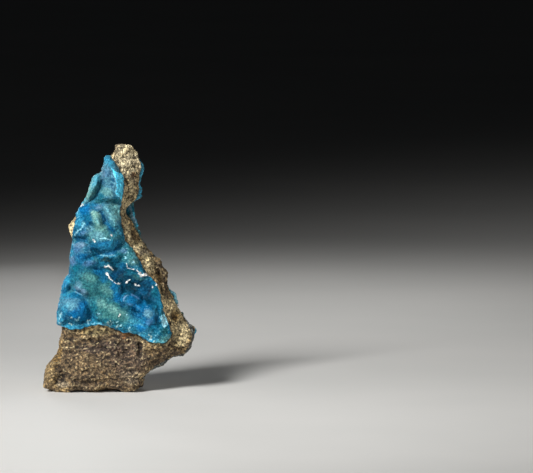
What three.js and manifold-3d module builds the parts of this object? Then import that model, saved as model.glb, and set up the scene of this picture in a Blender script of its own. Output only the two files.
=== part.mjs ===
// A hemimorphite specimen: a broken wedge of brown iron-stained rock that stands on its
// foot, with a botryoidal blue crust over its front face and a thinner one on its back.
// Millimetres, +Z up, seen from the front along +Y. The origin is under the middle of the
// specimen's box, on the surface that it stands on.

import * as THREE from "three";
import { LoftGeometry } from "three/addons/geometries/LoftGeometry.js";
import { ImprovedNoise } from "three/addons/math/ImprovedNoise.js";
import { mergeVertices } from "three/addons/utils/BufferGeometryUtils.js";
import Module from "manifold-3d";

const wasm = await Module();
wasm.setup();

// Driving dimensions
const rockHeight = 73;
const crustGap = 0.4; // between the rock and the back of a crust
const thinnestCrust = 1.2;
const domeRoundness = 0.6; // 0.5 is a ball's profile, 1 a parabola's
const creaseHalfWidth = 0.75;

// How finely the rock is made: points along each side of a section, and sections.
const rockGrid = { samplesPerSide: 5, levels: 42 };
const seatGrid = { samplesPerSide: 3, levels: 30 }; // for the seats of the crusts on it

// The rock's section at a few heights: z, the left edge, the corner where the front face
// turns into the right flank, the right edge, and how far forward or back the front face,
// the right edge and the back face lie.
const stations = [
  [0, -21.0, 1.5, 3.6, -9.6, -5.0, 9.6],
  [1.3, -22.7, 4.0, 6.6, -11.2, -4.8, 11.2],
  [4.7, -22.6, 6.0, 7.7, -12.0, -4.0, 12.4],
  [7.3, -21.8, 7.5, 11.2, -12.0, -3.0, 12.7],
  [9.3, -20.0, 9.0, 15.4, -11.8, -2.0, 12.7],
  [10.9, -19.1, 10.5, 19.2, -11.4, -1.0, 12.5],
  [13.4, -17.9, 13.0, 21.6, -10.8, 0.0, 12.1],
  [15.5, -17.2, 15.0, 22.2, -9.6, 1.0, 11.8],
  [17.4, -17.0, 15.4, 22.1, -8.9, 1.5, 11.4],
  [19.3, -17.4, 14.8, 20.4, -8.6, 2.0, 11.1],
  [22.7, -17.4, 13.2, 18.0, -8.3, 2.5, 10.5],
  [26.3, -17.0, 12.4, 15.9, -7.9, 3.0, 9.9],
  [29.6, -16.0, 11.6, 14.3, -7.6, 3.4, 9.4],
  [32.4, -15.3, 10.4, 13.7, -7.4, 3.7, 8.9],
  [35.5, -14.0, 7.2, 13.4, -7.1, 4.0, 8.5],
  [38.1, -13.9, 5.8, 12.2, -6.9, 4.0, 8.1],
  [40.9, -13.7, 4.3, 9.1, -6.7, 3.8, 7.8],
  [44.2, -13.4, 1.8, 6.4, -6.4, 3.5, 7.4],
  [46.8, -14.9, 1.2, 5.0, -6.1, 3.2, 7.0],
  [49.6, -14.2, 0.5, 3.6, -5.9, 2.8, 6.7],
  [53.4, -11.0, 0.2, 2.8, -5.6, 2.4, 6.3],
  [55.6, -9.4, 0.7, 4.4, -5.4, 3.0, 6.1],
  [58.6, -8.2, 1.1, 5.5, -5.1, 3.2, 5.9],
  [62.2, -7.0, 1.2, 5.6, -4.8, 3.2, 5.6],
  [65.5, -4.6, 0.4, 6.1, -4.5, 3.0, 5.3],
  [68.1, -3.6, -0.9, 5.8, -4.4, 2.6, 4.9],
  [71.2, -2.4, 0.0, 4.3, -4.0, 1.6, 4.4],
  [rockHeight, -0.9, 1.2, 3.3, -2.6, 0.8, 2.8],
];

// The front crust's outline, x and z, each edge from its lower or left end.
const frontEdges = {
  left: [
    [-19.1, 19.3], [-18.8, 22.4], [-18.3, 26.3], [-17.3, 30.4], [-16.5, 33.2],
    [-15.2, 34.7], [-15.1, 38.6], [-14.2, 44.7], [-13.7, 48.0], [-13.2, 51.9],
    [-12.5, 54.0], [-10.3, 56.6], [-9.1, 60.1], [-7.8, 64.3], [-5.7, 64.9],
    [-4.8, 67.4], [-4.6, 70.0],
  ],
  right: [
    [13.0, 13.7], [15.3, 15.2], [15.8, 16.5], [15.1, 18.1], [13.3, 22.7],
    [12.5, 25.8], [11.7, 29.9], [10.7, 32.4], [7.4, 35.0], [6.6, 37.0],
    [4.0, 41.7], [1.7, 44.2], [0.4, 49.9], [-0.1, 53.5], [0.8, 56.3],
    [1.4, 60.7], [1.2, 64.2], [-0.8, 67.3], [-2.6, 69.9],
  ],
  bottom: [
    [-19.1, 19.3], [-17.5, 18.6], [-14.4, 17.8], [-11.4, 18.1], [-8.3, 19.1],
    [-5.2, 19.3], [-1.1, 18.1], [1.0, 17.0], [4.0, 17.0], [7.6, 15.2],
    [9.2, 13.9], [13.0, 13.7],
  ],
  top: [[-4.6, 70.0], [-2.6, 69.9]],
};

// Rounded masses of the front crust: centre x and z, half length, half width, tilt of the
// length above the horizontal in degrees, and height above the rock.
const frontLumps = [
  [-13.7, 24.2, 5.6, 5.0, 0, 6.0],
  [-16.4, 31.6, 2.2, 2.9, 0, 3.6],
  [-8.6, 31.6, 8.6, 5.2, -38, 5.2],
  [-2.4, 29.4, 5.2, 4.2, -38, 4.6],
  [-2.0, 23.2, 9.8, 4.6, -30, 5.4],
  [5.4, 19.2, 6.4, 3.4, -22, 4.2],
  [3.4, 26.2, 3.6, 2.9, 10, 5.4],
  [9.2, 22.2, 5.4, 3.4, -48, 5.0],
  [12.4, 17.4, 3.4, 2.6, -30, 3.2],
  [-4.6, 45.2, 5.8, 5.6, 0, 6.8],
  [-7.0, 50.6, 2.7, 2.9, 60, 6.6],
  [-10.9, 48.6, 3.6, 4.6, 0, 4.4],
  [-11.2, 40.9, 4.4, 4.2, 0, 5.6],
  [-11.4, 36.8, 4.4, 3.2, 0, 4.4],
  [-5.0, 38.0, 4.4, 2.4, -10, 3.0],
  [3.6, 38.8, 4.6, 3.6, -45, 4.2],
  [6.8, 35.4, 3.4, 1.6, -30, 4.0],
  [4.2, 33.6, 3.2, 2.0, -5, 2.8],
  [-1.6, 50.6, 6.4, 2.4, -56, 4.6],
  [-3.0, 58.6, 3.4, 3.8, 0, 4.2],
  [-3.2, 66.0, 2.6, 5.4, 0, 3.8],
  [-8.0, 60.4, 5.4, 2.1, 66, 4.6],
  [-0.9, 61.4, 2.4, 6.4, 0, 4.4],
];

// Bowls broken or grown into the front crust: centre, half length, half width, tilt, and
// how much crust is left at the bottom.
const frontBowls = [
  [-1.0, 34.6, 3.5, 2.9, 20, 0.9],
  [2.6, 30.3, 3.0, 2.6, 0, 0.9],
  [7.6, 29.6, 5.0, 3.9, -18, 1.1],
];

// The back crust's outline, seen from the front: it shows past the right edge of the rock.
const backEdges = {
  left: [
    [-9.5, 24.0], [-11.0, 30.0], [-9.0, 37.0], [-10.0, 43.0], [-8.0, 50.0],
    [-5.5, 57.0], [-2.0, 64.0], [0.6, 69.4],
  ],
  right: [
    [20.6, 12.6], [22.2, 15.2], [22.9, 17.3], [20.6, 18.9], [18.3, 22.6],
    [16.4, 24.6], [16.7, 26.4], [15.9, 28.2], [14.0, 30.2], [12.9, 33.0],
    [12.6, 36.0], [10.6, 39.0], [7.6, 42.0], [6.5, 44.6], [5.0, 49.6],
    [4.2, 52.0], [4.1, 54.9], [5.4, 55.9], [6.3, 58.6], [6.1, 62.0],
    [6.9, 64.8], [6.6, 67.0], [4.6, 69.8],
  ],
  bottom: [
    [-9.5, 24.0], [-4.0, 20.0], [2.0, 21.0], [8.0, 16.5], [14.0, 14.5],
    [20.6, 12.6],
  ],
  top: [[0.6, 69.4], [4.6, 69.8]],
};

const backLumps = [
  [-3.0, 27.5, 5.0, 4.2, 20, 3.4],
  [5.0, 25.0, 5.2, 4.0, -20, 3.8],
  [13.0, 20.5, 5.4, 3.6, -30, 3.2],
  [-5.0, 36.0, 4.4, 4.6, 0, 3.6],
  [3.0, 34.0, 4.8, 4.4, 10, 3.0],
  [9.5, 31.0, 3.8, 4.4, 0, 3.4],
  [-2.5, 44.0, 5.0, 4.2, 40, 3.4],
  [5.0, 41.0, 3.8, 3.6, 0, 2.8],
  [0.0, 52.0, 4.0, 4.6, 0, 3.2],
  [2.6, 60.0, 3.6, 4.2, 0, 2.8],
  [4.0, 66.0, 2.8, 3.6, 0, 2.4],
];

// Lumps and hollows of the bare rock on the side that is seen from the front: centre x and
// z, half length, half width, tilt, and height, negative for a hollow.
const rockFeatures = [
  [-20.4, 4.6, 2.4, 3.2, 0, 1.3],
  [-17.4, 4.8, 1.5, 2.8, 0, -1.9],
  [-14.6, 15.8, 5.0, 1.7, 4, -1.8],
  [-3.4, 14.2, 8.6, 1.2, -2, 1.3],
  [-2.0, 16.3, 4.0, 1.0, -8, -1.2],
  [1.6, 11.2, 5.0, 2.8, -6, -1.3],
  [5.6, 12.8, 2.4, 2.2, 0, 1.1],
  [-9.5, 9.5, 5.0, 2.6, 12, 0.9],
  [-7.0, 3.3, 9.0, 1.0, 3, -1.4],
  [-6.5, 0.0, 7.0, 1.5, 0, -2.6],
  [4.4, 2.6, 2.4, 2.2, 20, 0.9],
  [11.2, 9.6, 3.6, 1.3, 28, -0.9],
  [17.0, 19.0, 1.2, 4.6, 14, -1.5],
  [19.8, 15.6, 2.0, 4.0, 10, 1.0],
  [12.0, 33.4, 1.0, 4.6, 6, -1.2],
  [9.4, 36.6, 1.7, 3.4, 20, 0.9],
  [4.6, 42.6, 1.4, 2.2, 40, 0.8],
  [2.4, 46.4, 1.1, 2.4, 0, 0.7],
  [1.6, 69.0, 1.0, 3.0, 30, -0.7],
  [3.2, 64.4, 1.4, 2.2, -20, 0.7],
];

const noise = new ImprovedNoise();

// Value between two rows of a table whose first column is z.
function stationAt(z) {
  const top = stations.findIndex((row) => row[0] >= z);
  const upper = stations[top < 0 ? stations.length - 1 : Math.max(top, 1)];
  const lower = stations[stations.indexOf(upper) - 1];
  const share = THREE.MathUtils.clamp((z - lower[0]) / (upper[0] - lower[0]), 0, 1);
  const [left, corner, right, front, side, back] = lower
    .slice(1)
    .map((value, i) => THREE.MathUtils.lerp(value, upper[i + 1], share));
  return { left, corner, right, front, side, back };
}

// The smooth section of the rock at height z, counterclockwise from above. Its first five
// sides run over the front from the left edge to the right one.
const frontSides = 5;
function sectionAt(z) {
  const s = stationAt(z);
  const width = s.right - s.left;
  const middle = (s.left + s.corner) / 2;
  const depth = s.back - s.front;
  const corners = [
    [s.left, s.front + 0.34 * depth],
    [s.left + 0.05 * width, s.front + 0.06 * depth],
    [middle, s.front - 0.02 * depth],
    [s.corner, s.front + 0.05 * depth],
    [(s.corner + s.right) / 2 + 0.3, (s.front + s.side) / 2 - 0.4],
    [s.right, s.side],
    [s.right - 0.08 * width, (s.side + 2 * s.back) / 3],
    [s.left + 0.62 * width, s.back],
    [s.left + 0.22 * width, s.back - 0.06 * depth],
    [s.left + 0.02 * width, s.back - 0.3 * depth],
  ];
  const points = corners.map(([x, y]) => new THREE.Vector3(x, y, z));
  return new THREE.CatmullRomCurve3(points, true, "catmullrom", 0.32);
}

// How far forward (face -1) or back (face 1) the smooth rock lies at x, z.
function rockDepth(x, z, face) {
  const steps = 50;
  const curve = sectionAt(z);
  const frontShare = frontSides / curve.points.length;
  const [from, to] = face < 0 ? [0, frontShare] : [1, frontShare];
  let before = curve.getPoint(from % 1);
  if (x <= before.x) return before.y;
  for (let i = 1; i <= steps; i++) {
    const after = curve.getPoint(THREE.MathUtils.lerp(from, to, i / steps) % 1);
    if (after.x >= x && after.x > before.x) {
      return THREE.MathUtils.lerp(before.y, after.y, (x - before.x) / (after.x - before.x));
    }
    before = after;
  }
  return before.y;
}

// Distance from a lump's centre, 1 at its rim.
function reach(x, z, [cx, cz, long, wide, tilt]) {
  const turn = THREE.MathUtils.degToRad(tilt);
  const along = (x - cx) * Math.cos(turn) + (z - cz) * Math.sin(turn);
  const across = (z - cz) * Math.cos(turn) - (x - cx) * Math.sin(turn);
  return Math.hypot(along / long, across / wide);
}

function smoothMax(a, b, width) {
  const overlap = Math.max(width - Math.abs(a - b), 0) / width;
  return Math.max(a, b) + overlap * overlap * width * 0.25;
}

// Height of a crust over the rock, from its lumps and bowls.
function crustHeight(x, z, lumps, bowls) {
  let height = thinnestCrust + 0.35 * noise.noise(x / 4, 7.3, z / 4);
  for (const lump of lumps) {
    const r = reach(x, z, lump);
    if (r < 1) height = smoothMax(height, lump[5] * (1 - r * r) ** domeRoundness, 0.9);
  }
  for (const bowl of bowls) {
    const r = reach(x, z, bowl);
    if (r < 1) height = -smoothMax(-height, -(bowl[5] + 6.5 * r ** 4), 0.5);
  }
  return height;
}

// The same height with its creases opened out, so that the grid's cells can follow them.
function softHeight(x, z, lumps, bowls) {
  let sum = 0;
  for (const dx of [-creaseHalfWidth, 0, creaseHalfWidth]) {
    for (const dz of [-creaseHalfWidth, 0, creaseHalfWidth]) {
      sum += crustHeight(x + dx, z + dz, lumps, bowls);
    }
  }
  return sum / 9;
}

// A curve through x, z points, and the patch that spans four of them.
function edgeCurve(points) {
  const curve = new THREE.CurvePath();
  for (let i = 1; i < points.length; i++) {
    const [from, to] = [points[i - 1], points[i]].map((p) => new THREE.Vector2(...p));
    curve.add(new THREE.LineCurve(from, to));
  }
  return (share) => curve.getPointAt(Math.min(share, 1));
}

function patchOver(edges) {
  const left = edgeCurve(edges.left);
  const right = edgeCurve(edges.right);
  const bottom = edgeCurve(edges.bottom);
  const top = edgeCurve(edges.top);
  const corner = (u, v) => (u ? right(v) : left(v));
  return (u, v) => {
    const acrossEdges = left(v).multiplyScalar(1 - u).addScaledVector(right(v), u);
    const upEdges = bottom(u).multiplyScalar(1 - v).addScaledVector(top(u), v);
    const corners = corner(0, 0)
      .multiplyScalar((1 - u) * (1 - v))
      .addScaledVector(corner(1, 0), u * (1 - v))
      .addScaledVector(corner(0, 1), (1 - u) * v)
      .addScaledVector(corner(1, 1), u * v);
    return acrossEdges.add(upEdges).sub(corners);
  };
}

// A closed solid between a fine outer surface and a coarse inner one. Both take u and v
// from 0 to 1, and the coarse grid has one cell to every "ratio" fine cells.
function sheetSolid(outer, inner, columns, rows, ratio, flip) {
  const positions = [];
  const triangles = [];
  const grid = (surface, nu, nv) => {
    const start = positions.length / 3;
    for (let j = 0; j <= nv; j++) {
      for (let i = 0; i <= nu; i++) positions.push(...surface(i / nu, j / nv));
    }
    return (i, j) => start + j * (nu + 1) + i;
  };
  const triangle = (a, b, c) => triangles.push(...(flip ? [a, c, b] : [a, b, c]));
  const fine = grid(outer, columns, rows);
  const [coarseColumns, coarseRows] = [columns / ratio, rows / ratio];
  const coarse = grid(inner, coarseColumns, coarseRows);
  for (let j = 0; j < rows; j++) {
    for (let i = 0; i < columns; i++) {
      triangle(fine(i, j), fine(i + 1, j), fine(i + 1, j + 1));
      triangle(fine(i, j), fine(i + 1, j + 1), fine(i, j + 1));
    }
  }
  for (let j = 0; j < coarseRows; j++) {
    for (let i = 0; i < coarseColumns; i++) {
      triangle(coarse(i, j), coarse(i + 1, j + 1), coarse(i + 1, j));
      triangle(coarse(i, j), coarse(i, j + 1), coarse(i + 1, j + 1));
    }
  }
  // The rim, walked once round: each coarse step meets "ratio" fine steps.
  const walk = (at, nu, nv) => [
    ...Array.from({ length: nu }, (_, i) => at(i, 0)),
    ...Array.from({ length: nv }, (_, j) => at(nu, j)),
    ...Array.from({ length: nu }, (_, i) => at(nu - i, nv)),
    ...Array.from({ length: nv }, (_, j) => at(0, nv - j)),
  ];
  const fineRim = walk(fine, columns, rows);
  const coarseRim = walk(coarse, coarseColumns, coarseRows);
  coarseRim.forEach((here, k) => {
    const next = coarseRim[(k + 1) % coarseRim.length];
    for (let i = 0; i < ratio; i++) {
      const from = fineRim[k * ratio + i];
      const to = fineRim[(k * ratio + i + 1) % fineRim.length];
      triangle(here, to, from);
    }
    triangle(here, next, fineRim[((k + 1) * ratio) % fineRim.length]);
  });
  return new THREE.BufferGeometry()
    .setAttribute("position", new THREE.Float32BufferAttribute(positions, 3))
    .setIndex(triangles);
}

const frontPatch = patchOver(frontEdges);
const backPatch = patchOver(backEdges);

// The crusts are made with their backs sunk in the rock, and then cut off at its surface.
const sunk = 2.2;

// The front crust follows the front face, and its left side curls round the rock's edge.
function frontCrust() {
  const curlWidth = 3.2;
  const curlDepth = 4.6;
  const outer = (u, v) => {
    const { x, y: z } = frontPatch(u, v);
    const leftEdge = frontPatch(0, v);
    const rightEdge = frontPatch(1, v);
    const fromLeft = Math.hypot(x - leftEdge.x, z - leftEdge.y);
    const fromRight = Math.hypot(x - rightEdge.x, z - rightEdge.y);
    const fromBottom = frontPatch(u, 0).distanceTo(frontPatch(u, v));
    const fromTop = frontPatch(u, 1).distanceTo(frontPatch(u, v));
    const brokenEdge = THREE.MathUtils.smoothstep(z, 54, 57) - THREE.MathUtils.smoothstep(z, 65, 67);
    const rim = Math.min(
      thinnestCrust + THREE.MathUtils.lerp(2.0 * Math.sqrt(fromRight), 1.25 * fromRight, brokenEdge),
      1.7 + 1.9 * Math.sqrt(fromBottom),
      1.0 + 1.6 * Math.sqrt(fromTop),
    );
    const height = Math.min(softHeight(x, z, frontLumps, frontBowls), rim);
    const width = Math.min(curlWidth, 0.45 * (fromLeft + fromRight) + 0.01);
    const span = Math.min(fromLeft / width, 1);
    const overhang = THREE.MathUtils.smoothstep(stationAt(z).left - leftEdge.x, -0.3, 0.7);
    const curl = curlDepth * overhang * (1 - Math.sqrt(1 - (1 - span) ** 2)) * Math.min(1, (72 - z) / 12);
    const inside = Math.max(x, stationAt(z).left + 1.4);
    return [x, rockDepth(inside, z, -1) - crustGap - height + curl, z];
  };
  const inner = (u, v) => {
    const { x, y: z } = frontPatch(u, v);
    const room = frontPatch(1, v).x - frontPatch(0, v).x;
    const shift = Math.min(stationAt(z).left + 1.5 - frontPatch(0, v).x, 0.6 * room);
    const inside = x + (1 - u) ** 4 * Math.max(shift, 0);
    return [inside, rockDepth(inside, z, -1) + sunk, z];
  };
  return sheetSolid(outer, inner, 32, 44, 4, false);
}

// The back crust is thinner, and its right side curls forward round the rock's edge.
function backCrust() {
  const curlWidth = 2.4;
  const outer = (u, v) => {
    const { x, y: z } = backPatch(u, v);
    const fromRight = backPatch(1, v).distanceTo(backPatch(u, v));
    const fromOthers = Math.min(
      backPatch(0, v).distanceTo(backPatch(u, v)),
      backPatch(u, 0).distanceTo(backPatch(u, v)),
      backPatch(u, 1).distanceTo(backPatch(u, v)),
    );
    const height = Math.min(softHeight(x, z, backLumps, []), 0.9 + 1.3 * Math.sqrt(fromOthers));
    const span = Math.min(fromRight / curlWidth, 1);
    const curlDepth = 1.5 + 1.6 * Math.max(0, 1 - Math.abs(z - 51.5) / 5);
    const curl = curlDepth * (1 - Math.sqrt(1 - (1 - span) ** 2));
    const inside = Math.min(x, stationAt(z).right - 0.5);
    return [x, rockDepth(inside, z, 1) + crustGap + height - curl, z];
  };
  const inner = (u, v) => {
    const { x, y: z } = backPatch(u, v);
    const shift = backPatch(1, v).x - (stationAt(z).right - 1.2);
    const inside = x - u ** 4 * Math.max(shift, 0);
    return [inside, rockDepth(inside, z, 1) - sunk, z];
  };
  return sheetSolid(outer, inner, 16, 28, 4, true);
}

// How far outside a crust's outline a point lies: 0 inside it.
function outsideOf(edges) {
  const outline = [
    ...edges.bottom,
    ...edges.right.slice(1),
    ...edges.top.slice(0, 1).reverse(),
    ...edges.left.slice(1, -1).reverse(),
  ].map((p) => new THREE.Vector2(...p));
  return (x, z) => {
    const point = new THREE.Vector2(x, z);
    let nearest = Infinity;
    let crossings = 0;
    outline.forEach((a, i) => {
      const b = outline[(i + 1) % outline.length];
      const side = b.clone().sub(a);
      const share = THREE.MathUtils.clamp(point.clone().sub(a).dot(side) / side.lengthSq(), 0, 1);
      nearest = Math.min(nearest, a.clone().addScaledVector(side, share).distanceTo(point));
      const spans = a.y > z !== b.y > z;
      if (spans && x < a.x + ((z - a.y) / (b.y - a.y)) * (b.x - a.x)) crossings++;
    });
    return crossings % 2 ? 0 : nearest;
  };
}

// The rock: sections lofted up from the flat foot, roughened wherever no crust covers it,
// and grown sideways by a margin.
function rock(grid, margin) {
  const outsideFront = outsideOf(frontEdges);
  const outsideBack = outsideOf(backEdges);
  const rough = (p) =>
    1.1 * noise.noise(p.x / 6.1, p.y / 6.1, p.z / 5.2) +
    0.8 * Math.abs(noise.noise(p.x / 3.3 + 9, p.y / 3.3, p.z / 2.9)) -
    0.25;
  const sections = [];
  for (let level = 0; level <= grid.levels; level++) {
    const z = rockHeight * (level / grid.levels) ** 1.06;
    const curve = sectionAt(z);
    const sides = curve.points.length;
    const count = sides * grid.samplesPerSide;
    const ring = [];
    for (let i = 0; i < count; i++) {
      const share = i / count;
      const point = curve.getPoint(share);
      const along = curve.getTangent(share);
      const outward = new THREE.Vector3(along.y, -along.x, 0).normalize();
      const onFront = share * sides < frontSides;
      const bare = (onFront ? outsideFront : outsideBack)(point.x, point.z);
      let push = rough(point);
      if (onFront) {
        for (const feature of rockFeatures) {
          const r = reach(point.x, point.z, feature);
          if (r < 1) push += feature[5] * (1 - r * r) ** 2;
        }
      }
      const cover = THREE.MathUtils.smoothstep(bare, 0.1, 1.2);
      ring.push(point.addScaledVector(outward, push * cover + margin));
    }
    sections.push(ring);
  }
  const loft = new LoftGeometry(sections, { capStart: true, capEnd: true });
  return new THREE.BufferGeometry().copy(loft);
}

function solidOf(geometry) {
  geometry.deleteAttribute("normal");
  geometry.deleteAttribute("uv");
  const { attributes, index } = mergeVertices(geometry, 1e-4);
  const vertProperties = attributes.position.array;
  const triVerts = new Uint32Array(index.array);
  return new wasm.Manifold(new wasm.Mesh({ numProp: 3, vertProperties, triVerts }));
}

function geometryOf(solid) {
  const { vertProperties, triVerts } = solid.getMesh();
  const geometry = new THREE.BufferGeometry()
    .setAttribute("position", new THREE.BufferAttribute(vertProperties, 3))
    .setIndex(new THREE.BufferAttribute(triVerts, 1));
  geometry.computeVertexNormals();
  return geometry;
}

// What is left of a crust outside the rock, in one body.
function cutFrom(crust, grownRock) {
  const bodies = crust.subtract(grownRock).decompose();
  return bodies.sort((a, b) => b.volume() - a.volume())[0];
}

const gossan = new THREE.MeshStandardMaterial({ color: 0x85735a, roughness: 0.95, metalness: 0 });
const blueCrust = new THREE.MeshStandardMaterial({ color: 0x1f86ac, roughness: 0.35, metalness: 0 });

function piece(name, solid, material) {
  const mesh = new THREE.Mesh(geometryOf(solid), material);
  mesh.name = name;
  return mesh;
}

const grownRock = solidOf(rock(seatGrid, crustGap));
const specimen = new THREE.Group();
specimen.add(
  piece("gossan_matrix", solidOf(rock(rockGrid, 0)), gossan),
  piece("front_crust", cutFrom(solidOf(frontCrust()), grownRock), blueCrust),
  piece("back_crust", cutFrom(solidOf(backCrust()), grownRock), blueCrust),
);

// Move the origin under the middle of the box.
const box = new THREE.Box3().setFromObject(specimen);
specimen.position.set(-(box.min.x + box.max.x) / 2, -(box.min.y + box.max.y) / 2, -box.min.z);

export default specimen;
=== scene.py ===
import math
import random

import bpy
import numpy as np
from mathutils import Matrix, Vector, noise
from mathutils.bvhtree import BVHTree


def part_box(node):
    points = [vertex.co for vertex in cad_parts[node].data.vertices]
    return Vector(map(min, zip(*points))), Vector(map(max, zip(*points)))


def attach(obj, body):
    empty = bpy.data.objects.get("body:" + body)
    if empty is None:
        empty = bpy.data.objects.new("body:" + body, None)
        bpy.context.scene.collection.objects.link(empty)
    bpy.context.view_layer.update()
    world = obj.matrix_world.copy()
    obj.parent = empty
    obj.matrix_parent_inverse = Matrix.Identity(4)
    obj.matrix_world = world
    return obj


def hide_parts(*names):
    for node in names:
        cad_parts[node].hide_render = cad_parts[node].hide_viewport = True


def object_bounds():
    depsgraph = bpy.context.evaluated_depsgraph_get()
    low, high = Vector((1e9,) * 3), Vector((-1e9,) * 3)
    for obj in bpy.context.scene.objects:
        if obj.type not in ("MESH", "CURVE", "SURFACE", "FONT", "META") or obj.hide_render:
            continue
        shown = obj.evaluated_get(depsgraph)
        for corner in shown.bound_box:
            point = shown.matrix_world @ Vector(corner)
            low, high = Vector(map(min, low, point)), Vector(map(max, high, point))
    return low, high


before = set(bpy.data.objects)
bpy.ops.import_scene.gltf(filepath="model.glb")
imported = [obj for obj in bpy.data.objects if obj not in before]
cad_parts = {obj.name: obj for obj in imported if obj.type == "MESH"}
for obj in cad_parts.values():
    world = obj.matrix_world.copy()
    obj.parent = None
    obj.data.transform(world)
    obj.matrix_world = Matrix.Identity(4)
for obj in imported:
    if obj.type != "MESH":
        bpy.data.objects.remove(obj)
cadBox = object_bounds()

mm = 0.001
samePoint = 0.002 * mm  # corners of a CAD node's loose triangles that lie this close are one


# Small helpers for selecting and for modifiers

def deselectAll():
    bpy.ops.object.select_all(action="DESELECT")


def makeActive(piece):
    deselectAll()
    piece.select_set(True)
    bpy.context.view_layer.objects.active = piece


def setAll(item, settings):
    for name, value in settings.items():
        setattr(item, name, value)


# A copy of a CAD node to build on, with its triangles joined and its labels and materials gone
def nodeCopy(nodeName, pieceName):
    makeActive(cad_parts[nodeName])
    bpy.ops.object.duplicate()
    piece = bpy.context.active_object
    piece.name = pieceName
    piece.parent = None
    for key in list(piece.keys()):
        del piece[key]
    piece.data.materials.clear()
    bpy.ops.object.mode_set(mode="EDIT")
    bpy.ops.mesh.select_all(action="SELECT")
    bpy.ops.mesh.remove_doubles(threshold=samePoint)
    bpy.ops.object.mode_set(mode="OBJECT")
    return piece


def applyModifier(piece, kind, **settings):
    makeActive(piece)
    modifier = piece.modifiers.new(kind.title(), kind)
    setAll(modifier, settings)
    bpy.ops.object.modifier_apply(modifier=modifier.name)


# Pushes the surface in and out by one of Blender's own patterns, with grain and depth in mm
def roughen(piece, pattern, grain, depth, middle=0.5, group="", **settings):
    texture = bpy.data.textures.new(f"{piece.name} {pattern}", pattern)
    texture.noise_scale = grain * mm
    setAll(texture, settings)
    applyModifier(piece, "DISPLACE", texture=texture, texture_coords="LOCAL",
                  strength=depth * mm, mid_level=middle, vertex_group=group)


# Cuts each chosen face in four
def refine(piece, chosen):
    makeActive(piece)
    bpy.ops.object.mode_set(mode="EDIT")
    bpy.ops.mesh.select_mode(type="FACE")
    bpy.ops.mesh.select_all(action="DESELECT")
    bpy.ops.object.mode_set(mode="OBJECT")
    piece.data.polygons.foreach_set("select", chosen)
    bpy.ops.object.mode_set(mode="EDIT")
    bpy.ops.mesh.subdivide(number_cuts=1)
    bpy.ops.object.mode_set(mode="OBJECT")


# Mesh data as rows of x, y, z, in mm

def readRows(items, name):
    flat = np.empty(len(items) * 3, np.float32)
    items.foreach_get(name, flat)
    return flat.reshape(-1, 3).astype(float)


def readPoints(piece):
    return readRows(piece.data.vertices, "co") / mm


def readNormals(piece):
    return readRows(piece.data.vertex_normals, "vector")


def writePoints(piece, points):
    piece.data.vertices.foreach_set("co", (points * mm).astype(np.float32).ravel())
    piece.data.update()


# Averages values over neighbouring vertices, several times over
def evened(piece, values, rounds):
    ends = np.empty(len(piece.data.edges) * 2, np.int32)
    piece.data.edges.foreach_get("vertices", ends)
    a, b = ends.reshape(-1, 2).T
    total = len(values)
    neighbours = np.bincount(a, minlength=total) + np.bincount(b, minlength=total)
    columns = values.reshape(total, -1).T.copy()
    for _ in range(rounds):
        for i, column in enumerate(columns):
            spread = np.bincount(a, column[b], total) + np.bincount(b, column[a], total)
            columns[i] = 0.5 * column + 0.5 * spread / neighbours
    return columns.T.reshape(values.shape)


# How far each vertex stands above (positive) or below its neighbourhood, in mm
def standingOut(piece, rounds):
    points = readPoints(piece)
    return np.sum((points - evened(piece, points, rounds)) * readNormals(piece), axis=1)


def addAttribute(piece, name, values):
    if values.ndim == 2:
        attribute = piece.data.attributes.new(name, "FLOAT_COLOR", "POINT")
        values = np.column_stack([values, np.ones(len(values))])
        attribute.data.foreach_set("color", values.astype(np.float32).ravel())
    else:
        attribute = piece.data.attributes.new(name, "FLOAT", "POINT")
        attribute.data.foreach_set("value", values.astype(np.float32))


# A vertex group takes one weight for many vertices at a time, so weights go in steps
def setGroup(piece, name, weights, steps=20):
    group = piece.vertex_groups.new(name=name)
    levels = np.rint(np.clip(weights, 0, 1) * steps).astype(int)
    for level in range(1, steps + 1):
        group.add(np.flatnonzero(levels == level).tolist(), level / steps, "REPLACE")


# No vertex leaves the specimen's own box, and crowns near its front or back stay round
def keepInBox(piece):
    margin = 0.01  # mm inside the box
    give = 1.2  # mm over which crowns are pressed back
    low, high = (np.array(corner) / mm for corner in cadBox)
    points = readPoints(piece)
    depth = np.abs(points[:, 1])
    inner = high[1] - give - 2 * margin
    pressed = inner + give * (1 - np.exp(-np.maximum(depth - inner, 0) / give))
    points[:, 1] = np.sign(points[:, 1]) * np.where(depth > inner, pressed, depth)
    writePoints(piece, np.clip(points, low + margin, high - margin))


# Small helpers for shapes and patches drawn on x and z, in mm and degrees

# 0 up to low, 1 from high on, and an even swing between them
def smooth(value, low, high):
    share = np.clip((value - low) / (high - low), 0, 1)
    return share * share * (3 - 2 * share)


# Noise at each point, about -1 to 1, with its size in mm
def noiseAt(points, size, seed=0.0):
    start = Vector((seed, 0, 0))
    return np.array([noise.noise(Vector(p) / size + start) for p in points])


# Adds waves to values, each with its size and height in mm
def strayed(values, points, waves, seeds):
    for (size, height), seed in zip(waves, seeds):
        values = values + height * noiseAt(points, size, seed)
    return values


# Distance from a patch's centre, 1 at its rim
def reach(x, z, cx, cz, long, wide, tilt):
    turn = np.radians(tilt)
    along = (x - cx) * np.cos(turn) + (z - cz) * np.sin(turn)
    across = (z - cz) * np.cos(turn) - (x - cx) * np.sin(turn)
    return np.hypot(along / long, across / wide)


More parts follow.
